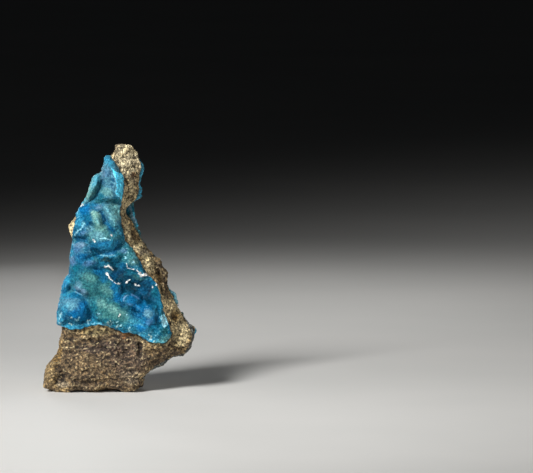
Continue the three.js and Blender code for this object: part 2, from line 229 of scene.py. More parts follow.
def lineDistance(x, z, line):
    nearest = np.full(len(x), 1e9)
    for (ax, az), (bx, bz) in zip(line, line[1:]):
        length = (bx - ax) ** 2 + (bz - az) ** 2
        share = np.clip(((x - ax) * (bx - ax) + (z - az) * (bz - az)) / length, 0, 1)
        there = np.hypot(x - ax - share * (bx - ax), z - az - share * (bz - az))
        nearest = np.minimum(nearest, there)
    return nearest


# The share of a patch or a line that each place has: 1 inside it, then less over a soft border,
# and none from its end on. End and border count in its own half widths, and rag roughens them
def patchShare(x, z, patch, end, border, rag=0.0):
    return smooth(end - reach(x, z, *patch) + rag, 0, border)


def lineShare(x, z, line, halfWidth, end, border, rag=0.0):
    return smooth(end - lineDistance(x, z, line) / halfWidth + rag, 0, border)


def insideOutline(x, z, outline):
    crossings = np.zeros(len(x), int)
    for (ax, az), (bx, bz) in zip(outline, outline[1:] + outline[:1]):
        if az != bz:
            spans = (az > z) != (bz > z)
            crossings += spans & (x < ax + (z - az) / (bz - az) * (bx - ax))
    return crossings % 2 == 1


# Small helpers for colours

def linear(hexCode):
    srgb = np.array([int(hexCode[i:i + 2], 16) for i in (1, 3, 5)]) / 255
    return np.where(srgb <= 0.04045, srgb / 12.92, ((srgb + 0.055) / 1.055) ** 2.4)


def tinted(paint, hexCode, share):
    share = np.clip(share, 0, 1)[:, None]
    return paint * (1 - share) + linear(hexCode) * share


# Lays one coat after another over the paint. Each has a tint, a value at each place, the values
# from which it shows and is full, its strength, and the share of each place that it may take
def coated(paint, tints, coats):
    for tint, value, shows, full, strength, area in coats:
        paint = tinted(paint, tints[tint], smooth(value, shows, full) * area * strength)
    return paint


# Small helpers for materials

def colour(hexCode):
    return (*linear(hexCode), 1)


# The scale that a noise pattern needs for grains of a size in mm
def scaleFor(size):
    return 1 / (size * mm)


# Adds a node with its settings; an input is given another node's socket or a plain value,
# and is named, or numbered where names repeat
def addNode(tree, kind, inputs=None, stops=None, **settings):
    node = tree.nodes.new("ShaderNode" + kind)
    setAll(node, settings)
    for socket, value in (inputs or {}).items():
        if isinstance(value, bpy.types.NodeSocket):
            tree.links.new(value, node.inputs[socket])
        else:
            node.inputs[socket].default_value = value
    for i, (place, shade) in enumerate(stops or []):
        elements = node.color_ramp.elements
        element = elements[i] if i < 2 else elements.new(place)
        element.position = place
        element.color = shade
    return node


def newMaterial(name):
    material = bpy.data.materials.new(name)
    material.use_nodes = True
    material.node_tree.nodes.clear()
    return material, material.node_tree


# Camera: about 6 degrees above the horizon, with the specimen left of the middle

view = {
    "elevation": 6.0,  # degrees
    "lens": 400.0,  # mm
    "sensor": 36.0,  # mm
    "frameWidth": 157.6,  # mm across the picture at the specimen's front
    "aim": (43.6, -11.0, 46.7),  # mm, the middle of the picture
    "nearest": 0.01,  # m
    "farthest": 20.0,  # m
}


def addCamera():
    bpy.ops.object.camera_add()
    camera = bpy.context.active_object
    camera.name = "camera"
    camera.data.lens = view["lens"]
    camera.data.sensor_width = view["sensor"]
    tilt = math.radians(view["elevation"])
    looking = Vector((0, math.cos(tilt), -math.sin(tilt)))
    distance = view["frameWidth"] * view["lens"] / view["sensor"]
    camera.location = (Vector(view["aim"]) - looking * distance) * mm
    camera.rotation_euler = (math.pi / 2 - tilt, 0, 0)
    camera.data.clip_start = view["nearest"]
    camera.data.clip_end = view["farthest"]
    bpy.context.scene.camera = camera


addCamera()
print("camera set")


# Floor and soft studio light

lights = {
    # name: place, the point it faces (both in mm), side in mm, spread in degrees, watts
    "key softbox": ((-328, -506, 446), (57, -34, 0), 240, 48, 0.71),
    "overhead softbox": ((40, 228, 190), (40, 220, 0), 200, 76, 0.045),
    "front fill": ((40, -420, 110), (0, 0, 45), 200, 40, 0.025),
    "right fill": ((380, -60, 120), (0, 0, 40), 160, 50, 0.015),
    "back fill": ((-110, 340, 90), (0, 0, 40), 160, 34, 0.022),
}


def addLight(name, place, facing, side, spread, watts):
    bpy.ops.object.light_add(type="AREA")
    light = bpy.context.active_object
    light.name = name
    light.data.size = side * mm
    light.data.spread = math.radians(spread)
    light.data.energy = watts
    light.location = Vector(place) * mm
    light.rotation_euler = (Vector(facing) - Vector(place)).to_track_quat("-Z", "Y").to_euler()


studio = {
    "floorSide": 16.0,  # m
    "floorTints": ("#d6d5d1", "#dedcd8"),
    "cloudsToMetre": 9.0,  # faint clouds of the floor
    "roomTint": (0.75, 0.8, 0.85, 1),
    "roomStrength": 0.006,
}


# Pale matt laminate: an even near-white with a faint soft gloss
def floorMaterial():
    material, tree = newMaterial("pale laminate")
    dark, light = (colour(tint) for tint in studio["floorTints"])
    position = addNode(tree, "TexCoord").outputs["Object"]
    cloud = addNode(tree, "TexNoise", {"Vector": position, "Scale": studio["cloudsToMetre"],
                                       "Detail": 3.0})
    shade = addNode(tree, "ValToRGB", {"Fac": cloud.outputs["Fac"]},
                    stops=[(0.3, dark), (0.7, light)])
    shader = addNode(tree, "BsdfPrincipled", {"Base Color": shade.outputs["Color"],
                                              "Roughness": 0.6})
    addNode(tree, "OutputMaterial", {"Surface": shader.outputs["BSDF"]})
    return material


def addFloor():
    bpy.ops.mesh.primitive_plane_add(size=studio["floorSide"])
    floor = bpy.context.active_object
    floor.name = "floor"
    floor.data.materials.append(floorMaterial())


def lightRoom():
    world = bpy.data.worlds.new("studio")
    world.use_nodes = True
    background = world.node_tree.nodes["Background"]
    background.inputs["Color"].default_value = studio["roomTint"]
    background.inputs["Strength"].default_value = studio["roomStrength"]
    bpy.context.scene.world = world


for name, settings in lights.items():
    addLight(name, *settings)
addFloor()
lightRoom()
bpy.context.scene.view_settings.view_transform = "Standard"
print("floor and lights set")


# The rock's own surface, and how far and how squarely places face it

cadRock = BVHTree.FromObject(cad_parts["gossan_matrix"],
                             bpy.context.evaluated_depsgraph_get())


def againstRock(places, normals, rockTree, farthest=3.0):
    away = np.full(len(places), farthest)
    facing = np.zeros(len(places))
    rockNormals = np.zeros((len(places), 3))
    for i, (place, normal) in enumerate(zip(places, normals)):
        near, rockNormal, _, distance = rockTree.find_nearest(Vector(place) * mm, farthest * mm)
        if near is not None:
            away[i] = distance / mm
            facing[i] = -Vector(normal).dot(rockNormal)
            rockNormals[i] = rockNormal
    return away, facing, rockNormals


# The rock: a copy of its solid, remeshed, then roughened at smaller and smaller sizes

tableLeft = -19.1  # mm, x of the front crust's left end in the tables below
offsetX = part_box("front_crust")[0].x / mm - tableLeft  # 0.05 mm or so
fromAbove = math.tan(math.radians(view["elevation"]))
leanFade = (58, 66)  # mm of height over which the lean dies out


# How much lower what stands out towards the viewer seems from the camera's height. The lean is
# the slope at which the camera looks down, or 0
def lowered(y, z, lean):
    return lean * y * (1 - smooth(z, *leanFade))


# Where the tables below have each point: their x and z are as the camera sees them
def tablePlace(points, lean):
    x, y, z = points.T
    return x - offsetX, z + lowered(y, z, lean)


rock = {
    "coarseMesh": 0.42,  # mm, and half of that where the rock is bare
    "bareFrom": 0.55,  # mm from the crusts' solids
    "lumpyFrom": (0.5, 1.9),  # mm from them over which the chunks and lumps come in
    "grainyFrom": (0.35, 0.9),
    "groovedFrom": (0.4, 1.2),
    "chunks": (6.5, -1.3),  # mm across, mm deep
    "lumps": (3.0, 0.8),
    "beds": (1.6, 0.35),
    "bedsSquash": (0.35, 0.35, 1.0),  # the lower its x and y, the longer the beds
    "pits": (1.5, 0.32),
    "grains": (0.85, -0.42),
    "grit": (0.4, 0.3),
    "grooveShare": 0.75,  # share of the grooves' depths below that is cut
    "grooveWaves": (1.7, 0.4),  # mm across, mm that the grooves stray sideways
    "chipReach": 3,  # mm up and back over which the chips die out
    "chipsBack": -5,  # mm, the y at which they have ended
    "footHeight": 0.9,  # mm over which the roughness fades out towards the foot
    "keptFaces": 0.68,  # share of its faces that it keeps, first where it is smooth
    "stainAndShadeEnd": (1.25, 0.6),  # where each stain and each patch of painted shade ends, and its soft border, in its own half widths
    "cavityRounds": 10,
    "shade": 0.86,  # share of the tints below that the rock has
    "grainSize": 0.8,  # mm, of the tan grains and dark pores in its colour
    "bumpSize": 0.3,  # mm, coarser than real grit, so that it shows
}

# Grooves and ledges of the front: a line of x, z points, half width and depth (minus: raised)
rockGrooves = [
    # under the top band
    ([(-17.2, 13.2), (-13.4, 13.5), (-10.6, 14.1), (-7.5, 14.5), (-5.0, 14.0), (-1.8, 13.7),
      (1.3, 13.7), (2.9, 14.4)], 0.6, 1.0),
    ([(-13.4, 14.6), (-7.5, 15.9), (-2.0, 15.2), (3.0, 15.2)], 0.7, -0.6),
    ([(-4.3, 15.1), (-2.0, 15.9), (1.0, 15.0), (3.4, 15.7), (5.7, 14.9)], 0.4, 0.8),
    ([(6.0, 13.6), (6.2, 12.0), (5.9, 10.2)], 0.7, 1.3),
    ([(-19.0, 6.6), (-17.6, 5.0), (-16.6, 3.6), (-18.4, 2.4)], 0.9, 1.0),  # beside the corner knob
    ([(-15.5, 2.9), (-12.0, 2.2), (-9.0, 1.7), (-6.2, 2.3), (-3.7, 2.6), (1.3, 2.6), (4.4, 2.9)],
     0.6, 0.35),
    ([(-12.8, 12.6), (-9.0, 12.9), (-6.2, 12.5), (-3.7, 11.5)], 0.6, 0.7),
    ([(-16.6, 11.2), (-13.4, 11.0), (-10.3, 11.3)], 0.4, 0.5),
    ([(-2.6, 10.9), (-0.4, 8.4), (2.8, 7.2)], 0.5, 0.2),
    ([(-10.8, 8.2), (-8.2, 7.7), (-5.6, 8.3)], 0.4, 0.4),
    ([(-14.6, 6.6), (-12.0, 5.3), (-8.4, 5.0)], 0.4, 0.4),
    ([(9.4, 39.6), (11.0, 36.4), (12.0, 32.6), (12.6, 28.6)], 0.6, 1.0),
    ([(6.4, 42.4), (8.2, 40.9), (9.4, 39.2)], 0.4, 0.6),
    ([(13.6, 34.6), (13.7, 31.2), (14.4, 28.4)], 0.5, -0.4),
    ([(2.4, 66.2), (4.2, 66.8), (5.4, 65.9)], 0.35, 0.6),
    ([(1.8, 62.6), (2.6, 59.8), (2.2, 57.0)], 0.4, 0.7),
    ([(4.4, 61.9), (4.6, 59.4), (4.0, 57.4)], 0.35, 0.6),
    ([(1.9, 53.4), (2.2, 50.4), (3.4, 47.4), (5.0, 45.0)], 0.4, 0.7),
    ([(17.0, 18.4), (18.2, 16.6), (17.6, 14.6)], 0.35, 0.6),
    ([(14.4, 13.4), (16.4, 12.6), (18.6, 12.4)], 0.4, 0.6),
    ([(16.2, 21.5), (17.4, 18.0), (16.6, 14.6)], 1.3, 0.9),  # the trough of the right wing
    ([(2.8, 57.6), (4.2, 56.6)], 0.7, 0.8),
]

# Chips out of the lower front edge: middle x, half length, and how far they lift it
rockChips = [(-20.6, 1.4, 0.6), (-12.6, 3.4, 0.7), (-2.4, 4.4, 0.9), (5.9, 1.2, 1.0)]

# Small shifts of its outline: middle x and z, reach along both, mm sideways and mm up
rockPushes = [
    (-13.2, 48.8, 2.4, 3.4, -1.1, 0.0),  # the left knob
    (-17.4, 15.6, 3.4, 4.4, -0.6, 0.0),  # the base's left side, under the crust
    (3.6, 53.2, 3.2, 3.4, -1.3, 0.0),  # the strip, where the back crust shows past it
    (19.6, 10.8, 4.2, 3.4, 0.0, -0.9),  # the right wing's lower corner
    (5.2, 72.8, 3.6, 2.6, 0.0, -0.7),  # the right end of the top
]


def shapeRock(piece, bare):
    points = readPoints(piece)
    normals = readNormals(piece)
    x, tableZ = tablePlace(points, fromAbove)
    y, z = points[:, 1].copy(), points[:, 2].copy()
    front = smooth(-normals[:, 1], 0.0, 0.6)
    waveSize, waveHeight = rock["grooveWaves"]
    wander = waveHeight * noiseAt(points, waveSize, 9.0)
    push = np.zeros(len(points))
    for line, halfWidth, depth in rockGrooves:
        push -= depth * lineShare(x + wander, tableZ + wander, line, halfWidth, 1.35, 1)
    # Faint beds, nearly level, and pits
    bedSize, bedDepth = rock["beds"]
    bedded = noiseAt(points * rock["bedsSquash"], bedSize, 3.0)
    push = rock["grooveShare"] * push * front + bedDepth * bedded
    pitSize, pitDepth = rock["pits"]
    push -= pitDepth * smooth(noiseAt(points, pitSize, 21.0), 0.15, 0.6)
    offFoot = smooth(z, 0.0, rock["footHeight"])
    points += normals * (push * offFoot * bare)[:, None]
    forward = smooth(rock["chipsBack"] - y, 0, rock["chipReach"])
    low = smooth(rock["chipReach"] - z, 0, rock["chipReach"])
    for middle, halfLength, lift in rockChips:
        chip = smooth(1 - np.abs(x - middle) / halfLength, 0, 0.8)
        points[:, 2] += lift * chip * forward * low
    for cx, cz, long, wide, sideways, up in rockPushes:
        share = patchShare(x, tableZ, (cx, cz, long, wide, 0), 1, 0.8)
        points[:, 0] += sideways * share
        points[:, 2] += up * share
    writePoints(piece, points)


# How far each place on the rock is from the crusts' solids, up to a limit in mm
def crustDistance(places, limit):
    away = np.full(len(places), limit)
    for name in ("front_crust", "back_crust"):
        crustTree = BVHTree.FromObject(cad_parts[name], bpy.context.evaluated_depsgraph_get())
        for i, place in enumerate(places):
            distance = crustTree.find_nearest(Vector(place) * mm, limit * mm)[3]
            if distance is not None:
                away[i] = min(away[i], distance / mm)
    return away


def makeRock():
    piece = nodeCopy("gossan_matrix", "gossan")
    applyModifier(piece, "REMESH", mode="VOXEL", voxel_size=rock["coarseMesh"] * mm)
    applyModifier(piece, "SMOOTH", factor=0.5, iterations=4)
    middles = readRows(piece.data.polygons, "center") / mm
    refine(piece, crustDistance(middles, 2 * rock["bareFrom"]) > rock["bareFrom"])
    points = readPoints(piece)
    offFoot = smooth(points[:, 2], 0.0, rock["footHeight"])
    away = crustDistance(points, 2.0)
    # Under the crusts the rock stays as smooth as its solid
    setGroup(piece, "lumpy", smooth(away, *rock["lumpyFrom"]) * offFoot)
    setGroup(piece, "grainy", smooth(away, *rock["grainyFrom"]) * offFoot)
    roughen(piece, "VORONOI", *rock["chunks"], middle=0.45, group="lumpy",
            distance_metric="DISTANCE")
    roughen(piece, "CLOUDS", *rock["lumps"], group="lumpy")
    shapeRock(piece, smooth(away, *rock["groovedFrom"]))
    applyModifier(piece, "SMOOTH", factor=0.4, iterations=1)
    roughen(piece, "VORONOI", *rock["grains"], middle=0.4, group="grainy",
            distance_metric="DISTANCE")
    roughen(piece, "CLOUDS", *rock["grit"], group="grainy")
    applyModifier(piece, "DECIMATE", ratio=rock["keptFaces"])
    keepInBox(piece)
    return piece


rockTints = {
    "tan": "#a99065", "brown": "#604f3a", "dark": "#2a2018", "purple": "#4f4039",
    "cream": "#e2d0a4", "ochre": "#8c6d35", "olive": "#7c7250", "grey": "#8f8576",
    "slate": "#4e595f", "rust": "#8b5a2c", "bone": "#fff1cb",
}

# Stains of the front, and dark patches of painted shade: centre x and z, half length, half width,
# tilt, tint, strength
rockStainsAndShade = [
    (-5.0, 8.0, 17.0, 9.0, 0, "brown", 0.8),
    (5.0, 11.0, 12.0, 8.0, 0, "brown", 0.5),
    (-18.8, 9.9, 4.6, 1.6, 70, "ochre", 0.6),
    (-20.6, 4.6, 2.6, 3.6, 0, "tan", 0.6),
    # painted shade beside the corner knob
    (-17.6, 4.4, 1.3, 2.6, 20, "dark", 0.4),
    (-5.5, 12.4, 7.5, 1.5, 2, "purple", 0.85),
    (2.4, 9.4, 5.6, 5.4, 0, "purple", 0.6),
    (-11.5, 6.6, 6.0, 3.0, 6, "tan", 0.3),
    (-12.0, 6.5, 7.0, 4.0, 0, "brown", 0.7),
    (-16.6, 1.8, 2.0, 1.2, 0, "grey", 0.6),
    (6.8, 3.8, 1.2, 1.6, 0, "tan", 0.7),
    (3.4, 4.0, 4.0, 2.0, 0, "grey", 0.3),
    # painted shade in the groove
    (6.1, 11.6, 0.9, 2.4, 0, "dark", 0.6),
    # painted shade under the crust's lip
    (-13.9, 15.2, 2.6, 1.3, 0, "dark", 0.55),
    (-6.5, 16.9, 4.0, 1.3, 4, "olive", 0.7),
    (1.0, 15.6, 1.5, 0.7, 0, "rust", 0.6),
    (9.6, 12.4, 3.6, 2.0, 20, "tan", 0.4),
    (15.4, 24.8, 5.0, 1.8, -45, "cream", 0.85),
    (16.6, 20.6, 1.5, 3.2, 10, "ochre", 0.8),
    (18.2, 16.8, 3.0, 4.4, 10, "cream", 0.95),
    (14.9, 15.2, 1.2, 2.0, 0, "brown", 0.5),
    (2.3, 47.6, 1.2, 3.6, 6, "cream", 1.0),
    (5.3, 42.8, 2.6, 1.5, -50, "cream", 1.0),
    (7.4, 40.4, 1.5, 1.4, 0, "grey", 0.8),
    (8.6, 37.4, 1.8, 3.2, 14, "cream", 0.95),
    (10.4, 33.4, 1.0, 2.4, 10, "tan", 0.7),
    # painted shade in a groove
    (11.6, 37.0, 0.6, 4.6, 14, "dark", 0.4),
    (13.4, 35.0, 1.1, 5.0, 10, "brown", 0.6),
    (13.6, 31.0, 1.2, 4.4, 0, "brown", 0.7),
    (2.6, 68.4, 4.4, 5.4, 0, "bone", 0.85),
    (3.4, 71.4, 2.4, 0.9, -10, "cream", 0.7),
    (1.6, 69.0, 1.3, 1.0, 0, "bone", 0.6),
    (1.2, 66.4, 1.2, 0.9, 0, "bone", 0.6),
    # painted shade on the top block, and in its pits
    (3.5, 69.6, 0.5, 1.1, 10, "dark", 0.6),
    (0.0, 67.6, 0.6, 0.4, 0, "dark", 0.7),
    (0.1, 66.3, 0.5, 0.4, 0, "dark", 0.6),
    (0.2, 72.2, 0.4, 0.4, 0, "dark", 0.5),
    (4.9, 67.4, 0.8, 1.8, 20, "brown", 0.5),
    (2.9, 61.6, 2.6, 3.0, 0, "grey", 0.6),
    (2.6, 58.6, 2.6, 4.6, 0, "cream", 0.65),
    (1.6, 52.6, 1.4, 3.4, 0, "cream", 0.7),
    (4.3, 63.7, 0.8, 0.7, 0, "rust", 0.7),
    (-13.9, 49.0, 1.2, 4.4, 0, "cream", 0.8),
]

# Rims of the rock: its slate-coloured outer edge on the right, and a pale one beside the crust
underRim = [(7.4, 4.2), (10.7, 7.0), (13.9, 8.6), (16.2, 9.6), (19.3, 10.3), (21.3, 13.4),
            (22.1, 16.3), (20.6, 19.2), (19.2, 21.6)]
besideCrust = [(11.9, 30.6), (12.7, 27.2), (13.2, 24.2), (14.4, 22.0), (15.5, 19.2), (16.2, 17.4)]


def paintRock(piece):
    points = readPoints(piece)
    normals = readNormals(piece)
    broad = noiseAt(points, 6.0, 2.0) + 0.5 * noiseAt(points, 2.6, 5.0)
    fine = noiseAt(points, 0.9, 7.0)
    clouds = noiseAt(points, 8.0, 61.0) + 0.3 * noiseAt(points, 2.0, 63.0)
    veins = np.abs(noiseAt(points * (1.0, 1.0, 0.6), 7.0, 65.0) + 0.2 * fine)
    streaks = noiseAt(points * (0.28, 0.28, 1.0), 0.8, 27.0)
    x, z = tablePlace(points, fromAbove)
    x += 0.9 * broad
    z += 0.9 * noiseAt(points, 3.0, 12.0)
    front = smooth(-normals[:, 1], -0.5, 0.1)
    unseen = 1 - front  # the sides and the back, which the tables leave out
    base = smooth(19 - z, 0, 6)
    paint = np.tile(linear(rockTints["brown"]), (len(points), 1))
    paint = coated(paint, rockTints, [
        ("tan", broad + 0.4 * fine, -0.3, 0.5, 0.8, 1),
        ("purple", -broad, 0.25, 0.7, 0.6, 1),
        ("cream", clouds, 0.1, 0.5, 0.6, unseen),
        ("rust", -clouds, 0.15, 0.5, 0.55, unseen),
        ("dark", 0.12 - veins, 0, 0.1, 0.7, unseen),
        ("purple", streaks, 0.05, 0.4, 0.8, base),
    ])
    # Stains, and the dark patches that are painted shade
    for *stain, tint, strength in rockStainsAndShade:
        share = patchShare(x, z, stain, *rock["stainAndShadeEnd"])
        paint = tinted(paint, rockTints[tint], share * strength * front)
    share = lineShare(points[:, 0] - offsetX, points[:, 2] + 0.25 * fine, underRim, 1, 0.75, 0.35)
    paint = tinted(paint, rockTints["slate"], share * 0.9)
    share = lineShare(x - 0.7 * broad, z + 0.25 * fine, besideCrust, 1, 0.9, 0.5)
    paint = tinted(paint, rockTints["cream"], share * 0.8 * front)
    # Painted shade in the grooves, most in the deep ones
    for line, halfWidth, depth in rockGrooves:
        if depth > 0:
            share = lineShare(x, z, line, halfWidth, 1.1, 0.7, -0.6 * fine) * 0.45 * min(depth, 1.0)
            paint = tinted(paint, rockTints["dark"], share * front)
    # What stands out is painted paler, and the pits between are darkened with painted shade
    out = standingOut(piece, rock["cavityRounds"])
    paint = coated(paint, rockTints, [
        ("cream", out + 0.05 * fine, 0.04, 0.2, 0.4, 1),
        ("dark", -out + 0.05 * fine, 0.02, 0.18, 0.8, 1),
    ])
    addAttribute(piece, "paint", paint * rock["shade"])


# Gossan: porous iron-stained rock, so it is dead matt, with tan grains and dark pores
def gossanMaterial():
    material, tree = newMaterial("gossan")
    position = addNode(tree, "TexCoord").outputs["Object"]
    paint = addNode(tree, "Attribute", attribute_name="paint").outputs["Color"]
    grains = addNode(tree, "TexNoise", {"Vector": position, "Scale": scaleFor(rock["grainSize"]),
                                        "Detail": 4.0, "Roughness": 0.7, "Distortion": 0.5})
    tone = addNode(tree, "ValToRGB", {"Fac": grains.outputs["Fac"]}, stops=[
        (0.37, (0.1, 0.085, 0.075, 1)), (0.66, (2.7, 2.55, 2.25, 1)), (0.46, (0.45, 0.43, 0.4, 1)),
        (0.53, (1.1, 1.1, 1.07, 1)),
    ])
    speckled = addNode(tree, "Mix", {"Factor": 1.0, 6: paint, 7: tone.outputs["Color"]},
                       data_type="RGBA", blend_type="MULTIPLY")
    fine = addNode(tree, "TexNoise", {"Vector": position, "Scale": scaleFor(rock["bumpSize"]),
                                      "Detail": 3.0})
    bump = addNode(tree, "Bump", {"Height": fine.outputs["Fac"], "Strength": 0.7,
                                  "Distance": 0.2 * mm})
    shader = addNode(tree, "BsdfPrincipled", {"Base Color": speckled.outputs[2], "Roughness": 0.9,
                                              "Normal": bump.outputs["Normal"]})
    addNode(tree, "OutputMaterial", {"Surface": shader.outputs["BSDF"]})
    return material


gossan = makeRock()
paintRock(gossan)
gossan.data.materials.append(gossanMaterial())
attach(gossan, "root")
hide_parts("gossan_matrix")
print("rock made:", len(gossan.data.polygons), "faces")


# The crusts: what both share

crust = {
    "coarseMesh": 0.34,  # mm, and half of that where the crust shows
    "hiddenWithin": 0.65,  # mm from the rock, where it faces that
    "thinnest": 1.2,
    "roundness": 0.68,  # 0.5 is a ball's profile, 1 a parabola's
    "solidRoundness": 0.6,
    "solidBlend": 0.9,
    "solidCrease": 0.75,  # mm, half the width over which the solid's creases are opened out
    "thinnestCrease": 0.8,
    "bowlDepth": 6.5,  # mm from a bowl's bottom to its rim
    "bowlBlend": 0.5,
    "warp": ((2.3, 0.5), (0.8, 0.15)),  # waves of the domes' outlines: mm across, mm sideways
    "bumps": ((1.6, 0.4), (0.55, 0.16)),  # mm across, mm deep
    "seatedWithin": 1.2,  # mm from the rock's surface
    "sunk": 0.35,  # mm that its back goes into the rock
    "evenRounds": 90,
    "domeRounds": 60,  # rounds that even out a dome, to tell crowns from hollows
    "creaseRounds": 8,
    "patchEnd": (1.35, 0.9),  # where a patch ends and its soft border, in its own half widths
    "sugarEnd": (1.4, 0.8),
    "leastSugar": 0.05,
    "facetSugar": 0.35,
    "shade": (0.4, 0.61, 0.62),  # share of the tints' red, green and blue that the crust has
    "hazeSize": 1.2,  # mm, of the cloudiness in its colour
    "speckSize": 0.6,
    "bumpSize": 0.4,  # mm, coarser than real crystals, so that it shows
}

crustTints = {
    "night": "#0b3f54", "deep": "#0c5278", "blue": "#0d74a9", "vivid": "#108ace",
    "sea": "#2c85a6", "teal": "#15768c", "moss": "#1b5c64", "fern": "#548a86",
    "green": "#739f9b", "pale": "#9abcb4", "milk": "#bbd9cd", "grey": "#83a8bc",
    "lilac": "#9aa9c6", "violet": "#6c8cb8", "cyan": "#50b2d8", "sky": "#5ed8ff",
    "ice": "#9ad8e8", "white": "#e9e8e2", "stain": "#6f664c",
}


def softerMax(a, b, width):
    overlap = np.maximum(width - np.abs(a - b), 0) / width
    return np.maximum(a, b) + overlap * overlap * width * 0.25


# Height of the crust over the rock, from its domes and bowls
def crustHeight(x, z, domes, bowls, roundness, blend):
    height = np.full(len(x), crust["thinnest"])
    for dome in domes:
        r = reach(x, z, *dome[:5])
        risen = softerMax(height, dome[5] * np.maximum(1 - r * r, 0) ** roundness, blend)
        height = np.where(r < 1, risen, height)
    for bowl in bowls:
        r = reach(x, z, *bowl[:5])
        wall = bowl[5] + crust["bowlDepth"] * r ** 4
        sunk = -softerMax(-height, -wall, crust["bowlBlend"])
        height = np.where(r < 1, sunk, height)
    return height


# The height that the solid has, with its creases opened out
def solidHeight(x, z, domes, bowls):
    step = crust["solidCrease"]
    return sum(
        crustHeight(x + dx, z + dz, domes, bowls, crust["solidRoundness"], crust["solidBlend"])
        for dx in (-step, 0, step) for dz in (-step, 0, step)
    ) / 9


# Height that ridges add and creases take away: each a line, its half width and its depth
def lineRelief(x, z, lines, rag):
    relief = np.zeros(len(x))
    for line, halfWidth, depth in lines:
        relief -= depth * lineShare(x, z, line, halfWidth, 1.5, 1, -0.5 * rag)
    return relief


# Moves what faces the rock closely into it, so that no gap shows along the crust's edge
def seat(piece, rockTree):
    points = readPoints(piece)
    away, facing, rockNormals = againstRock(points, readNormals(piece), rockTree)
    close = smooth(crust["seatedWithin"] - away, 0, 0.5)
    share = np.clip(facing + 0.6, 0, 1) * close * (facing > -0.2)
    writePoints(piece, points - rockNormals * ((away + crust["sunk"]) * share)[:, None])


def makeCrust(nodeName, pieceName, form):
    piece = nodeCopy(nodeName, pieceName)
    applyModifier(piece, "REMESH", mode="VOXEL", voxel_size=crust["coarseMesh"] * mm)
    applyModifier(piece, "SMOOTH", factor=0.5, iterations=3)
    middles = readRows(piece.data.polygons, "center") / mm
    away, facing, _ = againstRock(middles, readRows(piece.data.polygons, "normal"), cadRock)
    refine(piece, (away > crust["hiddenWithin"]) | (facing < 0.2))
    points = readPoints(piece)
    face = form["face"]
    outward = readNormals(piece)[:, 1] * face
    shown = smooth(outward, 0.1, 0.7)
    x, z = points[:, 0] - offsetX, points[:, 2]
    # The rock's face under the crust is smooth, so evening it out takes the solid's facets away
    base = points[:, 1] * face - solidHeight(x, z, form["domes"], form["bowls"])
    weight = smooth(outward, -0.1, 0.3) + 1e-4
    rounds = crust["evenRounds"]
    base = evened(piece, base * weight, rounds) / evened(piece, weight, rounds)
    # The whole crust wanders a little sideways, so that its edges look grown and broken
    x = strayed(x, points, form["wander"], (101.0, 103.0))
    z = strayed(z, points, form["wander"], (105.0, 107.0))
    points[:, 0] = x + offsetX
    points[:, 2] = z
    warpX = strayed(x, points, crust["warp"], (31.0, 61.0))
    warpZ = strayed(z, points, crust["warp"], (47.0, 71.0))
    height = crustHeight(warpX, warpZ, form["domes"] + form["swells"], form["bowls"],
                         crust["roundness"], form["blend"])
    rag = noiseAt(points, 0.6, 17.0)
    relief = lineRelief(x + 0.2 * rag, z + 0.2 * rag, form["lines"], rag)
    creased = np.maximum(height + relief, np.minimum(height, crust["thinnestCrease"]))
    height = np.where(relief < 0, creased, height + relief)
    for outline, lift, _ in form["facets"]:
        height += lift * insideOutline(x + 0.1 * rag, z + 0.1 * rag, outline)
    points[:, 1] += face * shown * (base + height - points[:, 1] * face)
    for cx, cz, size, sideways in form["pushes"]:
        points[:, 0] += sideways * patchShare(x, z, (cx, cz, size, size, 0), 1, 0.9)
    points[:, 2] -= lowered(points[:, 1], z, form["lean"])
    writePoints(piece, points)
    applyModifier(piece, "SMOOTH", factor=0.5, iterations=2)
    for size, depth in crust["bumps"]:
        roughen(piece, "CLOUDS", size, depth)
    seat(piece, rockTree)
    keepInBox(piece)
    return piece


